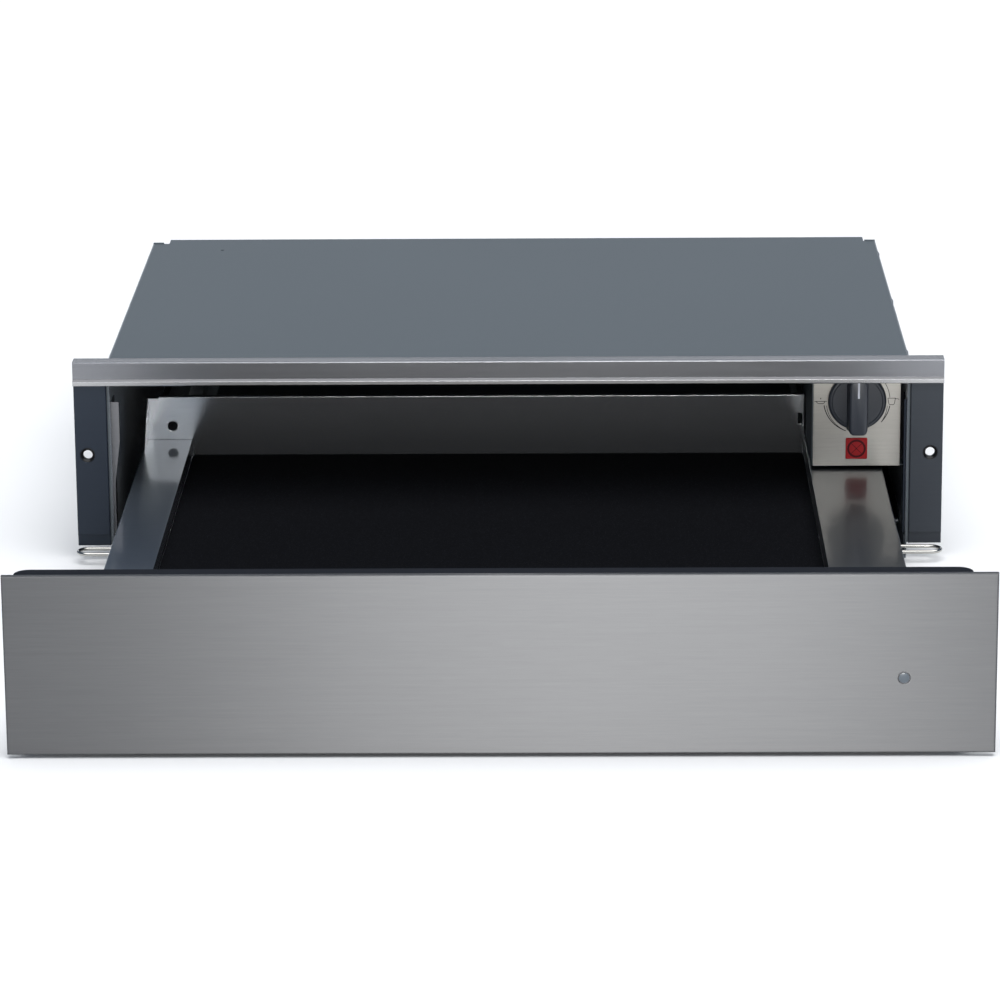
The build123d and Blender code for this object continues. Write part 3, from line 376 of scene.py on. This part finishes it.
plastic = {"spread": 0.08, "coat": 0.0, "grain": 0.6, "specular": 0.5, "relief": 0.05}
plasticLooks = {
    "blackPlastic": {"colour": (0.016, 0.018, 0.024), "rough": 0.40, "grain": 0.18, "relief": 0.15},
    "knobPlastic": {"colour": (0.034, 0.039, 0.050), "rough": 0.34, "grain": 0.18, "relief": 0.10},
    "whitePlastic": {"colour": (0.72, 0.71, 0.67), "rough": 0.45, "grain": 0.25, "relief": 0.12},
    "loomSleeve": {"colour": (0.018, 0.018, 0.020), "rough": 0.60, "grain": 0.35, "specular": 0.4,
                   "relief": 0.3},
    "redLens": {"colour": (0.46, 0.024, 0.027), "rough": 0.45, "specular": 0.15},
    "redDark": {"colour": (0.09, 0.008, 0.012), "rough": 0.45, "specular": 0.15},
    "greyLens": {"colour": (0.085, 0.105, 0.125), "rough": 0.25, "coat": 0.3, "relief": 0.04},
    "clearGuide": {"colour": (0.62, 0.65, 0.68), "rough": 0.15, "coat": 0.5, "relief": 0.04},
    "pointerWhite": {"colour": (0.62, 0.64, 0.70), "rough": 0.30, "coat": 0.3, "grain": 0.4},
    "printBlack": {"colour": (0.016, 0.016, 0.018), "rough": 0.60, "grain": 0.3, "specular": 0.2},
}

kinds = [(brushedMetal, metal, metalLooks), (coatedSheet, sheet, sheetLooks),
         (speckledRubber, mat, {"matRubber": {}}), (mouldedPlastic, plastic, plasticLooks)]
finishes = {}
for maker, common, looks in kinds:
    for finishName, look in looks.items():
        finishes[finishName] = maker(finishName, {**common, **look})

finishOfNode = {
    "frontSteel": ["drawer_front_panel"],
    "trimSteel": ["top_trim"],
    "plateSteel": ["control_plate"],
    "rimSteel": ["left_side_channel"],
    "shadedWideRimSteel": ["right_side_channel"],
    "wallSteel": ["tray_rear_wall"],
    "zinc": ["case_screws", "wire_clips", "left_rail_bracket", "right_rail_bracket", "bracket_screws",
             "left_outer_rail", "right_outer_rail", "left_middle_rail", "right_middle_rail",
             "left_inner_rail", "right_inner_rail", "tray_floor", "drawer_screws", "thermostat_body",
             "motor_bracket", "element_bracket"],
    "darkSteel": ["fan_shaft", "fan_motor", "heating_element", "left_front_stiffener"],
    "brass": ["thermostat_spindle"],
    "chrome": ["front_rest_wire"],
    "caseSheet": ["case_bottom", "case_top", "rear_step_wall", "rear_step_deck", "rear_panel",
                  "component_box_floor", "component_box_side"],
    "sideSheet": ["case_left_side", "case_right_side"],
    "flangeBlack": ["left_front_flange", "right_front_stiffener"],
    "litFlangeBlack": ["right_front_flange"],
    "bushBlack": ["fixing_bushes"],
    "linerBlack": ["drawer_front_liner"],
    "matRubber": ["anti_slip_mat"],
    "knobPlastic": ["thermostat_knob"],
    "blackPlastic": ["lamp_housing", "fan_housing", "fan_impeller", "thermal_cutout", "cable_gland"],
    "whitePlastic": ["terminal_block", "harness_clip"],
    "loomSleeve": ["wiring_harness"],
    "redLens": ["lamp_lens"],
    "greyLens": ["indicator_lens"],
    "clearGuide": ["light_guide"],
    "pointerWhite": ["knob_pointer"],
}
for finishName, nodeNames in finishOfNode.items():
    for nodeName in nodeNames:
        for materialSlot in nodes[nodeName].material_slots:
            materialSlot.material = finishes[finishName]
print("finishes on all nodes")

sameSpot = 0.0005  # points nearer to each other than this become one, in millimetres
pole = 0.01  # radius at which a turned shape closes on its axis, in millimetres
quarterTurn = math.pi / 2


def addPiece(name, mesh, finishName, body, replaced=(), roundedBelow=40):
    # a finished piece at the origin, riding on its body; bends below roundedBelow degrees are shaded round
    if finishName:
        mesh.materials.clear()
        mesh.materials.append(finishes[finishName])
    mesh.polygons.foreach_set("use_smooth", [True] * len(mesh.polygons))
    mesh.set_sharp_from_angle(angle=math.radians(roundedBelow))
    piece = bpy.data.objects.new(name, mesh)
    bpy.context.scene.collection.objects.link(piece)
    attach(piece, body)
    if replaced:
        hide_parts(*replaced)


def meshFrom(name, shape):
    # a bmesh in millimetres becomes a mesh in metres with its faces outwards
    bmesh.ops.remove_doubles(shape, verts=shape.verts, dist=sameSpot)
    bmesh.ops.recalc_face_normals(shape, faces=shape.faces)
    bmesh.ops.scale(shape, vec=(mm, mm, mm), verts=shape.verts)
    mesh = bpy.data.meshes.new(name)
    shape.to_mesh(mesh)
    shape.free()
    return mesh


def addShape(name, shape, finishName, body, replaced=(), roundedBelow=40):
    addPiece(name, meshFrom(name, shape), finishName, body, replaced, roundedBelow)


def skin(shape, rings):
    # closed rings of equal length joined one to the next
    made = [[shape.verts.new(point) for point in ring] for ring in rings]
    for lower, upper in zip(made, made[1:]):
        for index in range(len(lower)):
            after = (index + 1) % len(lower)
            shape.faces.new((lower[index], lower[after], upper[after], upper[index]))
    return made


def loft(shape, rings):
    # the same with both ends capped
    made = skin(shape, rings)
    shape.faces.new(made[0])
    shape.faces.new(made[-1])


def circles(centre, profile, sides, wave=None):
    # rings about an axis along Y; the profile is (radius, distance along +Y) pairs
    rings = []
    for radius, depth in profile:
        ring = []
        for index in range(sides):
            angle = math.tau * index / sides
            reach = radius * (wave(angle) if wave else 1)
            across, up = reach * math.cos(angle), reach * math.sin(angle)
            ring.append((centre[0] + across, centre[1] + depth, centre[2] + up))
        rings.append(ring)
    return rings


def turned(shape, centre, profile, sides, wave=None):
    # a lathe shape
    loft(shape, circles(centre, profile, sides, wave))


def hoop(shape, centre, section, sides=64):
    # a ring whose section is a closed loop of the same pairs
    skin(shape, circles(centre, section + section[:1], sides))


def islands(nodeName):
    # the boxes of a node's separate solids, in millimetres
    shape = bmesh.new()
    shape.from_mesh(nodes[nodeName].data)
    bmesh.ops.remove_doubles(shape, verts=shape.verts, dist=0.001 * mm)
    waiting = set(shape.verts)
    boxes = []
    while waiting:
        front = [waiting.pop()]
        island = list(front)
        while front:
            for edge in front.pop().link_edges:
                for vertex in edge.verts:
                    if vertex in waiting:
                        waiting.discard(vertex)
                        front.append(vertex)
                        island.append(vertex)
        corners = [[vertex.co[axis] / mm for vertex in island] for axis in range(3)]
        boxes.append((Vector([min(side) for side in corners]), Vector([max(side) for side in corners])))
    shape.free()
    return sorted(boxes, key=lambda box: tuple(round(value, 2) for value in box[0]))


# pan head screws: one tree makes the head, its cross recess and the shank, and sets one on every point
panScrew = {"Head Width": 7.0, "Head Height": 2.2, "Crown": 0.42, "Recess Length": 4.0, "Recess Width": 0.95,
            "Recess Depth": 1.3, "Shank Width": 3.7}


def makeScrewRecipe():
    scaled = {key: value if key == "Crown" else value * mm for key, value in panScrew.items()}
    recipe = Recipe("panScrews", scaled)
    radius = recipe.given("Head Width") / 2
    height = recipe.given("Head Height")
    blank = recipe.add("GeometryNodeMeshCylinder", {"fill_type": "TRIANGLE_FAN"}, {
        "Vertices": 32, "Side Segments": 4, "Fill Segments": 5, "Radius": radius, "Depth": height,
    })
    lifted = recipe.shifted(blank, recipe.vector(Z=height / 2))
    position = recipe.add("GeometryNodeInputPosition")
    split = recipe.add("ShaderNodeSeparateXYZ", {}, [position]).socket.node
    x, y, z = (Wire(recipe, split.outputs[axis]) for axis in "XYZ")
    outward = (x * x + y * y) / (radius * radius)
    crowned = z * (1 - recipe.given("Crown") * outward * outward)
    head = recipe.add("GeometryNodeSetPosition", {}, {
        "Geometry": lifted, "Position": recipe.vector(X=x, Y=y, Z=crowned),
    })
    above = 0.2 * mm  # how far the bars that cut the recess stand over the head
    depth = recipe.given("Recess Depth")
    for longAxis, shortAxis in (("X", "Y"), ("Y", "X")):
        size = {longAxis: recipe.given("Recess Length"), shortAxis: recipe.given("Recess Width"),
                "Z": depth + 2 * above}
        bar = recipe.add("GeometryNodeMeshCube", {}, {"Size": recipe.vector(**size)})
        raised = recipe.shifted(bar, recipe.vector(Z=height - depth / 2 + above))
        meshes = {"Mesh 1": head, "Mesh 2": raised}
        head = recipe.add("GeometryNodeMeshBoolean", {"operation": "DIFFERENCE"}, meshes)
    shank = recipe.add("GeometryNodeMeshCylinder", {"fill_type": "TRIANGLE_FAN"}, {
        "Vertices": 20, "Radius": recipe.given("Shank Width") / 2, "Depth": 1.0,
    })
    sunk = recipe.shifted(shank, (0, 0, -0.5))
    facing = recipe.add("GeometryNodeInputNamedAttribute", {"data_type": "FLOAT_VECTOR"}, {"Name": "facing"})
    turn = recipe.add("FunctionNodeAlignRotationToVector", {"axis": "Z"}, {"Vector": facing})
    grip = recipe.add("GeometryNodeInputNamedAttribute", {"data_type": "FLOAT"}, {"Name": "grip"})
    join = recipe.tree.nodes.new("GeometryNodeJoinGeometry")
    for part, scale in ((sunk, recipe.vector(X=1.0, Y=1.0, Z=grip)), (head, None)):
        spread = recipe.add("GeometryNodeInstanceOnPoints", {}, {
            "Points": recipe.given("Geometry"), "Instance": part, "Rotation": turn, "Scale": scale,
        })
        recipe.tree.links.new(spread.socket, join.inputs[0])
    recipe.deliver(Wire(recipe, join.outputs[0]), finishes["zinc"])
    return recipe


def makeScrews():
    recipe = makeScrewRecipe()
    behind = boxOf("rear_panel")[1].y + 0.5  # only the screws of the rear panel reach past this
    upward, rearward = Vector((0, 0, 1)), Vector((0, 1, 0))

    def facingOf(nodeName, low, high):
        if nodeName == "bracket_screws":
            return upward
        if nodeName == "drawer_screws" or high.y > behind:
            return rearward
        return Vector((math.copysign(1, low.x), 0, 0))

    sets = {
        "panScrewsOfCase": {"body": "case", "nodes": ["case_screws", "bracket_screws"]},
        "panScrewsOfDrawer": {"body": "drawer", "nodes": ["drawer_screws"]},
    }
    for name, group in sets.items():
        seats, facings, grips = [], [], []
        for nodeName in group["nodes"]:
            for low, high in islands(nodeName):
                middle = (low + high) / 2
                facing = facingOf(nodeName, low, high)
                ends = sorted((facing.dot(low), facing.dot(high)))
                underHead = ends[1] - panScrew["Head Height"]
                seats.append((middle + facing * (underHead - facing.dot(middle))) * mm)
                facings.extend(facing)
                grips.append((underHead - ends[0]) * mm)
        base = bpy.data.meshes.new(name + "Seats")
        base.from_pydata(seats, [], [])
        base.attributes.new("facing", "FLOAT_VECTOR", "POINT").data.foreach_set("vector", facings)
        base.attributes.new("grip", "FLOAT", "POINT").data.foreach_set("value", grips)
        addPiece(name, recipe.bake(name, base), None, group["body"], group["nodes"])
        print(name, len(seats), "screws")


# chromed wire loop under the front
restWire = {"Wire Width": 2.6, "Loop Depth": 14.0, "Bend": 7.0}


def makeRestWire():
    low, high = boxOf("front_rest_wire")
    recipe = Recipe("restWire", {key: value * mm for key, value in restWire.items()})
    width = recipe.given("Wire Width")
    outline = recipe.add("GeometryNodeCurvePrimitiveQuadrilateral", {"mode": "RECTANGLE"}, {
        "Width": (high.x - low.x) * mm - width, "Height": recipe.given("Loop Depth"),
    })
    bent = recipe.add("GeometryNodeFilletCurve", {"mode": "POLY"}, {
        "Curve": outline, "Count": 14, "Radius": recipe.given("Bend"), "Limit Radius": True,
    })
    placed = recipe.shifted(bent, (low + high) / 2 * mm)
    section = recipe.add("GeometryNodeCurvePrimitiveCircle", {}, {"Resolution": 20, "Radius": width / 2})
    wire = recipe.add("GeometryNodeCurveToMesh", {}, {"Curve": placed, "Profile Curve": section})
    recipe.deliver(wire, finishes["chrome"])
    mesh = recipe.bake("restWireLoop", bpy.data.meshes.new("restWireBase"))
    addPiece("restWireLoop", mesh, None, "case", ["front_rest_wire"])


# thermostat knob: a chamfered disc with a groove, and a waisted grip that ends in a tail; chamferBends and
# gripFoot are (inset, distance behind the disc's face), and tailCorner is in shares of tailTaper
knob = {"discRadius": 20.0, "discDepth": 4.5, "backEdge": 0.5, "chamfer": 1.5,
        "chamferBends": [(0.25, 0.9), (1.2, 0.1)], "groove": 17.4, "grooveHalf": 0.35, "faceRise": 0.15,
        "gripFoot": [(0.0, 0.5), (0.35, -0.2), (0.7, -1.5)], "gripBase": 7.6, "gripFront": 5.3,
        "gripTop": 1.0, "endInset": 0.5, "crown": 3.0, "round": 1.8, "roundShare": 0.55, "tailTaper": 2.4,
        "tailCorner": (0.25, 0.55, 1.4), "inset": 0.08}


def gripOutline(half, low, high, y, centreX):
    # a bar with an arched top and a tapered tail, as a ring of (x, y, z)
    tail, crown = knob["tailTaper"], knob["crown"]
    corner, rise, shoulder = (tail * share for share in knob["tailCorner"])
    points = [(-half + tail, low), (half - tail, low), (half - corner, low + rise), (half, low + shoulder)]
    steps = 10
    for index in range(steps + 1):
        angle = math.pi * index / steps
        points.append((half * math.cos(angle), high - crown + crown * math.sin(angle)))
    points += [(-half, low + shoulder), (-half + corner, low + rise)]
    return [(centreX + x, y, z) for x, z in points]


def makeKnob():
    low, high = boxOf("thermostat_knob")
    centreX = (low.x + high.x) / 2
    radius, chamfer, backEdge = knob["discRadius"], knob["chamfer"], knob["backEdge"]
    groove, grooveHalf = knob["groove"], knob["grooveHalf"]
    face = -knob["discDepth"]
    profile = [(pole, 0), (radius - backEdge, 0), (radius, -backEdge), (radius, face + chamfer)]
    profile += [(radius - inset, face + behind) for inset, behind in knob["chamferBends"]]
    profile += [(radius - chamfer, face), (groove + grooveHalf, face), (groove, face + grooveHalf),
                (groove - grooveHalf, face), (pole, face - knob["faceRise"])]
    shape = bmesh.new()
    turned(shape, (centreX, high.y, high.z - radius), profile, sides=120)
    layers = [(high.y + face + behind, inset) for inset, behind in knob["gripFoot"]]
    footFront, footInset = layers[-1]
    roundRadius = knob["round"]
    straight = low.y + knob["inset"] + roundRadius
    slope = knob["gripBase"] - knob["gripFront"] - roundRadius * knob["roundShare"]
    for share in (0.5, 1):
        layers.append((footFront + (straight - footFront) * share, footInset + (slope - footInset) * share))
    steps = 6
    for index in range(1, steps + 1):
        angle = quarterTurn * index / steps
        layers.append((straight - roundRadius * math.sin(angle), slope + roundRadius * (1 - math.cos(angle))))
    gripTop = high.z - knob["gripTop"]
    rings = []
    for y, inset in layers:
        endInset = inset * knob["endInset"]
        rings.append(gripOutline(knob["gripBase"] - inset, low.z + endInset, gripTop - endInset, y, centreX))
    loft(shape, rings)
    addShape("knobBody", shape, "knobPlastic", "knob", ["thermostat_knob"], roundedBelow=28)


# scale and symbols printed round the knob, as thin strokes on the plate: a sweep is two radii and two
# angles in degrees, and the lines of a symbol are measured from its own place
dial = {
    "wide": 0.62, "fine": 0.40, "proud": 0.05,
    "sweeps": [(22.9, 22.9, 189, 251, "wide"), (21.2, 22.9, 190, 251, "fine"), (22.9, 22.9, -10, -43, "wide"),
               (21.2, 22.9, -11, -43, "fine"), (22.6, 22.6, 5, 40, "fine")],
    "dishPlace": (-25.0, -0.7),
    "dishLines": [([(-4.3, 0), (4.3, 0)], "fine"),
                  ([(-3.1, -0.1), (-2.2, -1.2), (-1.1, -1.6), (1.4, -1.6), (2.4, -1.1), (2.9, -0.1)], "fine"),
                  ([(0, 1.5), (0, 2.5)], "wide")],
    "cupPlace": (20.9, 1.4),
    "cupLines": [([(0, 0), (5.7, 0)], "fine"),
                 ([(0.3, 0), (0.9, -3.6), (1.6, -4.6), (4.1, -4.6), (4.9, -3.6), (5.4, 0)], "fine"),
                 ([(5.4, -0.4), (7.4, -0.5), (8.1, -1.0)], "fine")],
}


def stroke(shape, path, width, faceY):
    # a flat bar that follows a path of (x, z) points and stands a little proud of a face
    half, proudY = width / 2, faceY - dial["proud"]
    last = len(path) - 1
    rings = []
    for index, (x, z) in enumerate(path):
        before, after = path[max(index - 1, 0)], path[min(index + 1, last)]
        along = Vector((after[0] - before[0], after[1] - before[1])).normalized()
        sideX, sideZ = -along.y * half, along.x * half
        rings.append([(x + sideX, faceY, z + sideZ), (x - sideX, faceY, z - sideZ),
                      (x - sideX, proudY, z - sideZ), (x + sideX, proudY, z + sideZ)])
    loft(shape, rings)


def sweep(startRadius, endRadius, startDegrees, endDegrees, steps=24):
    points = []
    for index in range(steps + 1):
        share = index / steps
        angle = math.radians(startDegrees + (endDegrees - startDegrees) * share)
        radius = startRadius + (endRadius - startRadius) * share
        points.append((radius * math.cos(angle), radius * math.sin(angle)))
    return points


def makeDial():
    low, high = boxOf("thermostat_knob")
    centreX, centreZ = (low.x + high.x) / 2, high.z - knob["discRadius"]
    plateFace = boxOf("control_plate")[0].y
    marks = [((0, 0), sweep(*sizes), width) for *sizes, width in dial["sweeps"]]
    for symbol in ("dish", "cup"):
        marks += [(dial[symbol + "Place"], line, width) for line, width in dial[symbol + "Lines"]]
    shape = bmesh.new()
    for (placeX, placeZ), line, width in marks:
        path = [(centreX + placeX + x, centreZ + placeZ + z) for x, z in line]
        stroke(shape, path, dial[width], plateFace)
    addShape("dialMarks", shape, "printBlack", "case")


# red lamp: a rounded cap with a sunk face, a moulded ring and a cross
lampCap = {"edge": 0.7, "edgeInset": 0.6, "corner": 0.9, "frame": 0.9, "frameTop": 0.1, "frameFoot": 0.25,
           "sunk": 0.35, "neckInset": 0.5, "ring": 6.4, "ringWidth": 1.4, "barWidth": 0.4, "barGap": 0.1,
           "relief": 0.12}


def roundedSquare(centreX, centreZ, half, corner, y, steps=5):
    ring = []
    for quarter in range(4):
        cornerX = centreX + (half - corner) * (1 if quarter in (0, 3) else -1)
        cornerZ = centreZ + (half - corner) * (1 if quarter in (0, 1) else -1)
        for index in range(steps + 1):
            angle = quarterTurn * (quarter + index / steps)
            ring.append((cornerX + corner * math.cos(angle), y, cornerZ + corner * math.sin(angle)))
    return ring


def makeLamp():
    low, high = boxOf("lamp_lens")
    centreX, centreZ = (low.x + high.x) / 2, (low.z + high.z) / 2
    plateFace = boxOf("control_plate")[0].y
    half, front = (high.x - low.x) / 2, low.y
    edge, corner = lampCap["edge"], lampCap["corner"]
    layers = [(plateFace, half), (front + edge, half)]
    steps = 4
    for index in range(1, steps + 1):
        angle = quarterTurn * index / steps
        inset = edge * lampCap["edgeInset"] * (1 - math.cos(angle))
        layers.append((front + edge * (1 - math.sin(angle)), half - inset))
    opening = half - lampCap["frame"]
    face = front + lampCap["sunk"]
    layers += [(front, opening + lampCap["frameTop"]), (face, opening - lampCap["frameFoot"])]
    neck = [(y, half - lampCap["neckInset"]) for y in (plateFace, high.y)]
    shape = bmesh.new()
    for part in (layers, neck):
        loft(shape, [roundedSquare(centreX, centreZ, reach, corner, y) for y, reach in part])
    addShape("lampCap", shape, "redLens", "case", ["lamp_lens"], roundedBelow=35)
    outer, relief = lampCap["ring"], lampCap["relief"]
    inner = outer - lampCap["ringWidth"]
    shape = bmesh.new()
    hoop(shape, (centreX, face, centreZ), [(outer, 0), (outer, -relief), (inner, -relief), (inner, 0)])
    reach = inner * math.sqrt(0.5) - lampCap["barGap"]
    for lean in (-reach, reach):
        bar = [(centreX - reach, centreZ - lean), (centreX + reach, centreZ + lean)]
        stroke(shape, bar, lampCap["barWidth"], face)
    addShape("lampRing", shape, "redDark", "case", roundedBelow=30)


# round indicator in the front: a shallow dome in a dark steel ring
indicator = {"domeRise": 0.28, "domePower": 2.4, "seal": 0.35, "sealFront": 0.05, "sealBack": 1.2,
             "gap": 0.02}


def makeIndicator():
    low, high = boxOf("indicator_lens")
    centre = ((low.x + high.x) / 2, low.y, (low.z + high.z) / 2)
    radius, length = (high.x - low.x) / 2, high.y - low.y
    lensRadius = radius - indicator["seal"]
    profile = [(pole, 0)]
    steps = 8
    for index in range(1, steps + 1):
        share = index / steps
        profile.append((lensRadius * share, indicator["domeRise"] * share ** indicator["domePower"]))
    profile += [(lensRadius, length), (pole, length)]
    shape = bmesh.new()
    turned(shape, centre, profile, sides=64)
    addShape("indicatorDome", shape, "greyLens", "drawer", ["indicator_lens"], roundedBelow=50)
    sheetFront = boxOf("drawer_front_panel")[0].y - low.y
    sealFront, sealBack = sheetFront + indicator["sealFront"], sheetFront + indicator["sealBack"]
    bore = lensRadius + indicator["gap"]
    shape = bmesh.new()
    hoop(shape, centre, [(radius, sealFront), (radius, sealBack), (bore, sealBack), (bore, sealFront)])
    addShape("indicatorSeal", shape, "darkSteel", "drawer")


# cable gland: a nut and a neck inside, and outside a six-sided base and a ribbed cap narrowing to its mouth;
# base and cap are (inset from the gland's radius, depth), and capEnd is (inset, distance before the end)
gland = {"nutSides": 6, "nutEdge": (0.9, 0.6), "neckRadius": 7.8, "neckLength": 0.8, "baseBore": 7.9,
         "base": [(0, 0.02), (0, 3.4), (0.5, 3.9), (2.2, 4.0)], "cap": [(2.0, 3.9), (1.0, 4.3), (1.3, 8.0)],
         "capEnd": [(2.1, 2.4), (3.4, 0.6), (4.6, 0)], "ribs": 18, "ribDepth": 0.035, "ribPower": 3,
         "mouth": 4.2, "mouthDepth": 6}


def makeGland():
    low, high = boxOf("cable_gland")
    centreX, centreZ = (low.x + high.x) / 2, (low.z + high.z) / 2
    radius, mouth = (high.x - low.x) / 2, gland["mouth"]
    wallLow, wallHigh = (corner.y for corner in boxOf("rear_step_wall"))
    turn = math.tau / gland["nutSides"]

    def hexagon(angle):
        return math.cos(turn / 2) / math.cos((angle % turn) - turn / 2)

    def ribbed(angle):
        return 1 - gland["ribDepth"] * (0.5 + 0.5 * math.cos(angle * gland["ribs"])) ** gland["ribPower"]

    nut, length = wallLow - low.y, high.y - wallHigh
    edgeShare, edgeDepth = gland["nutEdge"]
    neck = gland["neckRadius"]
    inner = [(mouth, 0), (radius * edgeShare, 0), (radius, edgeDepth), (radius, nut), (neck, nut),
             (neck, nut + gland["neckLength"])]
    base = [(gland["baseBore"], 0)] + [(radius - inset, depth) for inset, depth in gland["base"]]
    cap = [(radius - inset, depth) for inset, depth in gland["cap"]]
    cap += [(radius - inset, length - back) for inset, back in gland["capEnd"]]
    cap += [(mouth, length), (mouth, length - gland["mouthDepth"]), (pole, length - gland["mouthDepth"])]
    shape = bmesh.new()
    turned(shape, (centreX, low.y, centreZ), inner, sides=72, wave=hexagon)
    turned(shape, (centreX, wallHigh, centreZ), base, sides=72, wave=hexagon)
    turned(shape, (centreX, wallHigh, centreZ), cap, sides=144, wave=ribbed)
    addShape("glandCap", shape, "blackPlastic", "case", ["cable_gland"], roundedBelow=35)


makeScrews()
makeRestWire()
makeKnob()
makeDial()
makeLamp()
makeIndicator()
makeGland()
print("pieces modelled")


def makeCamera():
    camera = {"place": (43.6, -3056.5, 904.9), "pitch": 15.80, "yaw": -0.93, "roll": -0.45, "lens": 166.03}
    pitch, yaw, roll = (math.radians(camera[turn]) for turn in ("pitch", "yaw", "roll"))
    ahead = Vector((math.sin(yaw) * math.cos(pitch), math.cos(yaw) * math.cos(pitch), -math.sin(pitch)))
    right = Vector((math.cos(yaw), -math.sin(yaw), 0))
    up = right.cross(ahead)
    rolledRight = right * math.cos(roll) + up * math.sin(roll)
    rolledUp = up * math.cos(roll) - right * math.sin(roll)
    aim = Matrix((rolledRight, rolledUp, -ahead)).transposed().to_4x4()
    data = bpy.data.cameras.new("photoCamera")
    data.lens = camera["lens"]
    data.sensor_width = 36
    data.clip_start = 0.05
    data.clip_end = 60
    cameraObject = bpy.data.objects.new("photoCamera", data)
    cameraObject.matrix_world = Matrix.Translation(Vector(camera["place"]) * mm) @ aim
    bpy.context.scene.collection.objects.link(cameraObject)
    bpy.context.scene.camera = cameraObject


def makeFloor():
    paper = {"half": 20, "below": 0.0005, "colour": (0.93, 0.93, 0.93), "rough": 0.9}
    half = paper["half"]
    data = bpy.data.meshes.new("floor")
    corners = [(-half, -half, 0), (half, -half, 0), (half, half, 0), (-half, half, 0)]
    data.from_pydata(corners, [], [(0, 1, 2, 3)])
    floor = bpy.data.objects.new("floor", data)
    floor.location.z = cadBox[0].z - paper["below"]
    finish = Look("floorPaper")
    data.materials.append(finish.finish({"Base Color": rgb(paper["colour"]), "Roughness": paper["rough"]}))
    bpy.context.scene.collection.objects.link(floor)


def softBox(name, light):
    data = bpy.data.lights.new(name, "AREA")
    data.shape = "RECTANGLE"
    data.size, data.size_y = light["size"]
    data.energy = light["power"]
    data.color = light["colour"]
    lamp = bpy.data.objects.new(name, data)
    lamp.location = light["place"]
    toward = Vector(light["target"]) - Vector(light["place"])
    lamp.rotation_euler = toward.to_track_quat("-Z", "Y").to_euler()
    bpy.context.scene.collection.objects.link(lamp)


def makeLight():
    # a wide even light from above keeps the floor white, soft boxes light the steel from behind the camera,
    # and a strip lights it from the other side
    ceiling = {"strength": 3.3, "spread": 75, "tilt": (12, 8)}
    dimRoom = {"colour": (0.58, 0.74, 1.0), "strength": 0.20}
    softBoxes = {
        "lowSoftBox": {"size": (0.86, 0.7), "power": 41, "colour": (1, 0.995, 0.98),
                       "place": (0.10, -3.6, 0.45), "target": (0.10, 0, 0.45)},
        "highSoftBox": {"size": (1.4, 0.36), "power": 2.6, "colour": (0.94, 0.97, 1),
                        "place": (-0.05, -3.6, 1.07), "target": (-0.05, 0, 1.07)},
        "backStrip": {"size": (3.4, 0.30), "power": 5.5, "colour": (1, 1, 1),
                      "place": (0.05, 3.6, 1.12), "target": (0.05, 0, 0.12)},
    }
    world = bpy.data.worlds.new("studio")
    world.use_nodes = True
    background = world.node_tree.nodes["Background"]
    background.inputs["Color"].default_value = rgb(dimRoom["colour"])
    background.inputs["Strength"].default_value = dimRoom["strength"]
    bpy.context.scene.world = world
    data = bpy.data.lights.new("ceiling", "SUN")
    data.energy = ceiling["strength"]
    data.angle = math.radians(ceiling["spread"])
    lamp = bpy.data.objects.new("ceiling", data)
    lamp.rotation_euler = (*(math.radians(tilt) for tilt in ceiling["tilt"]), 0)
    bpy.context.scene.collection.objects.link(lamp)
    for name, light in softBoxes.items():
        softBox(name, light)
    bpy.context.scene.view_settings.view_transform = "Standard"


makeCamera()
makeFloor()
makeLight()
print("camera, floor and light made")
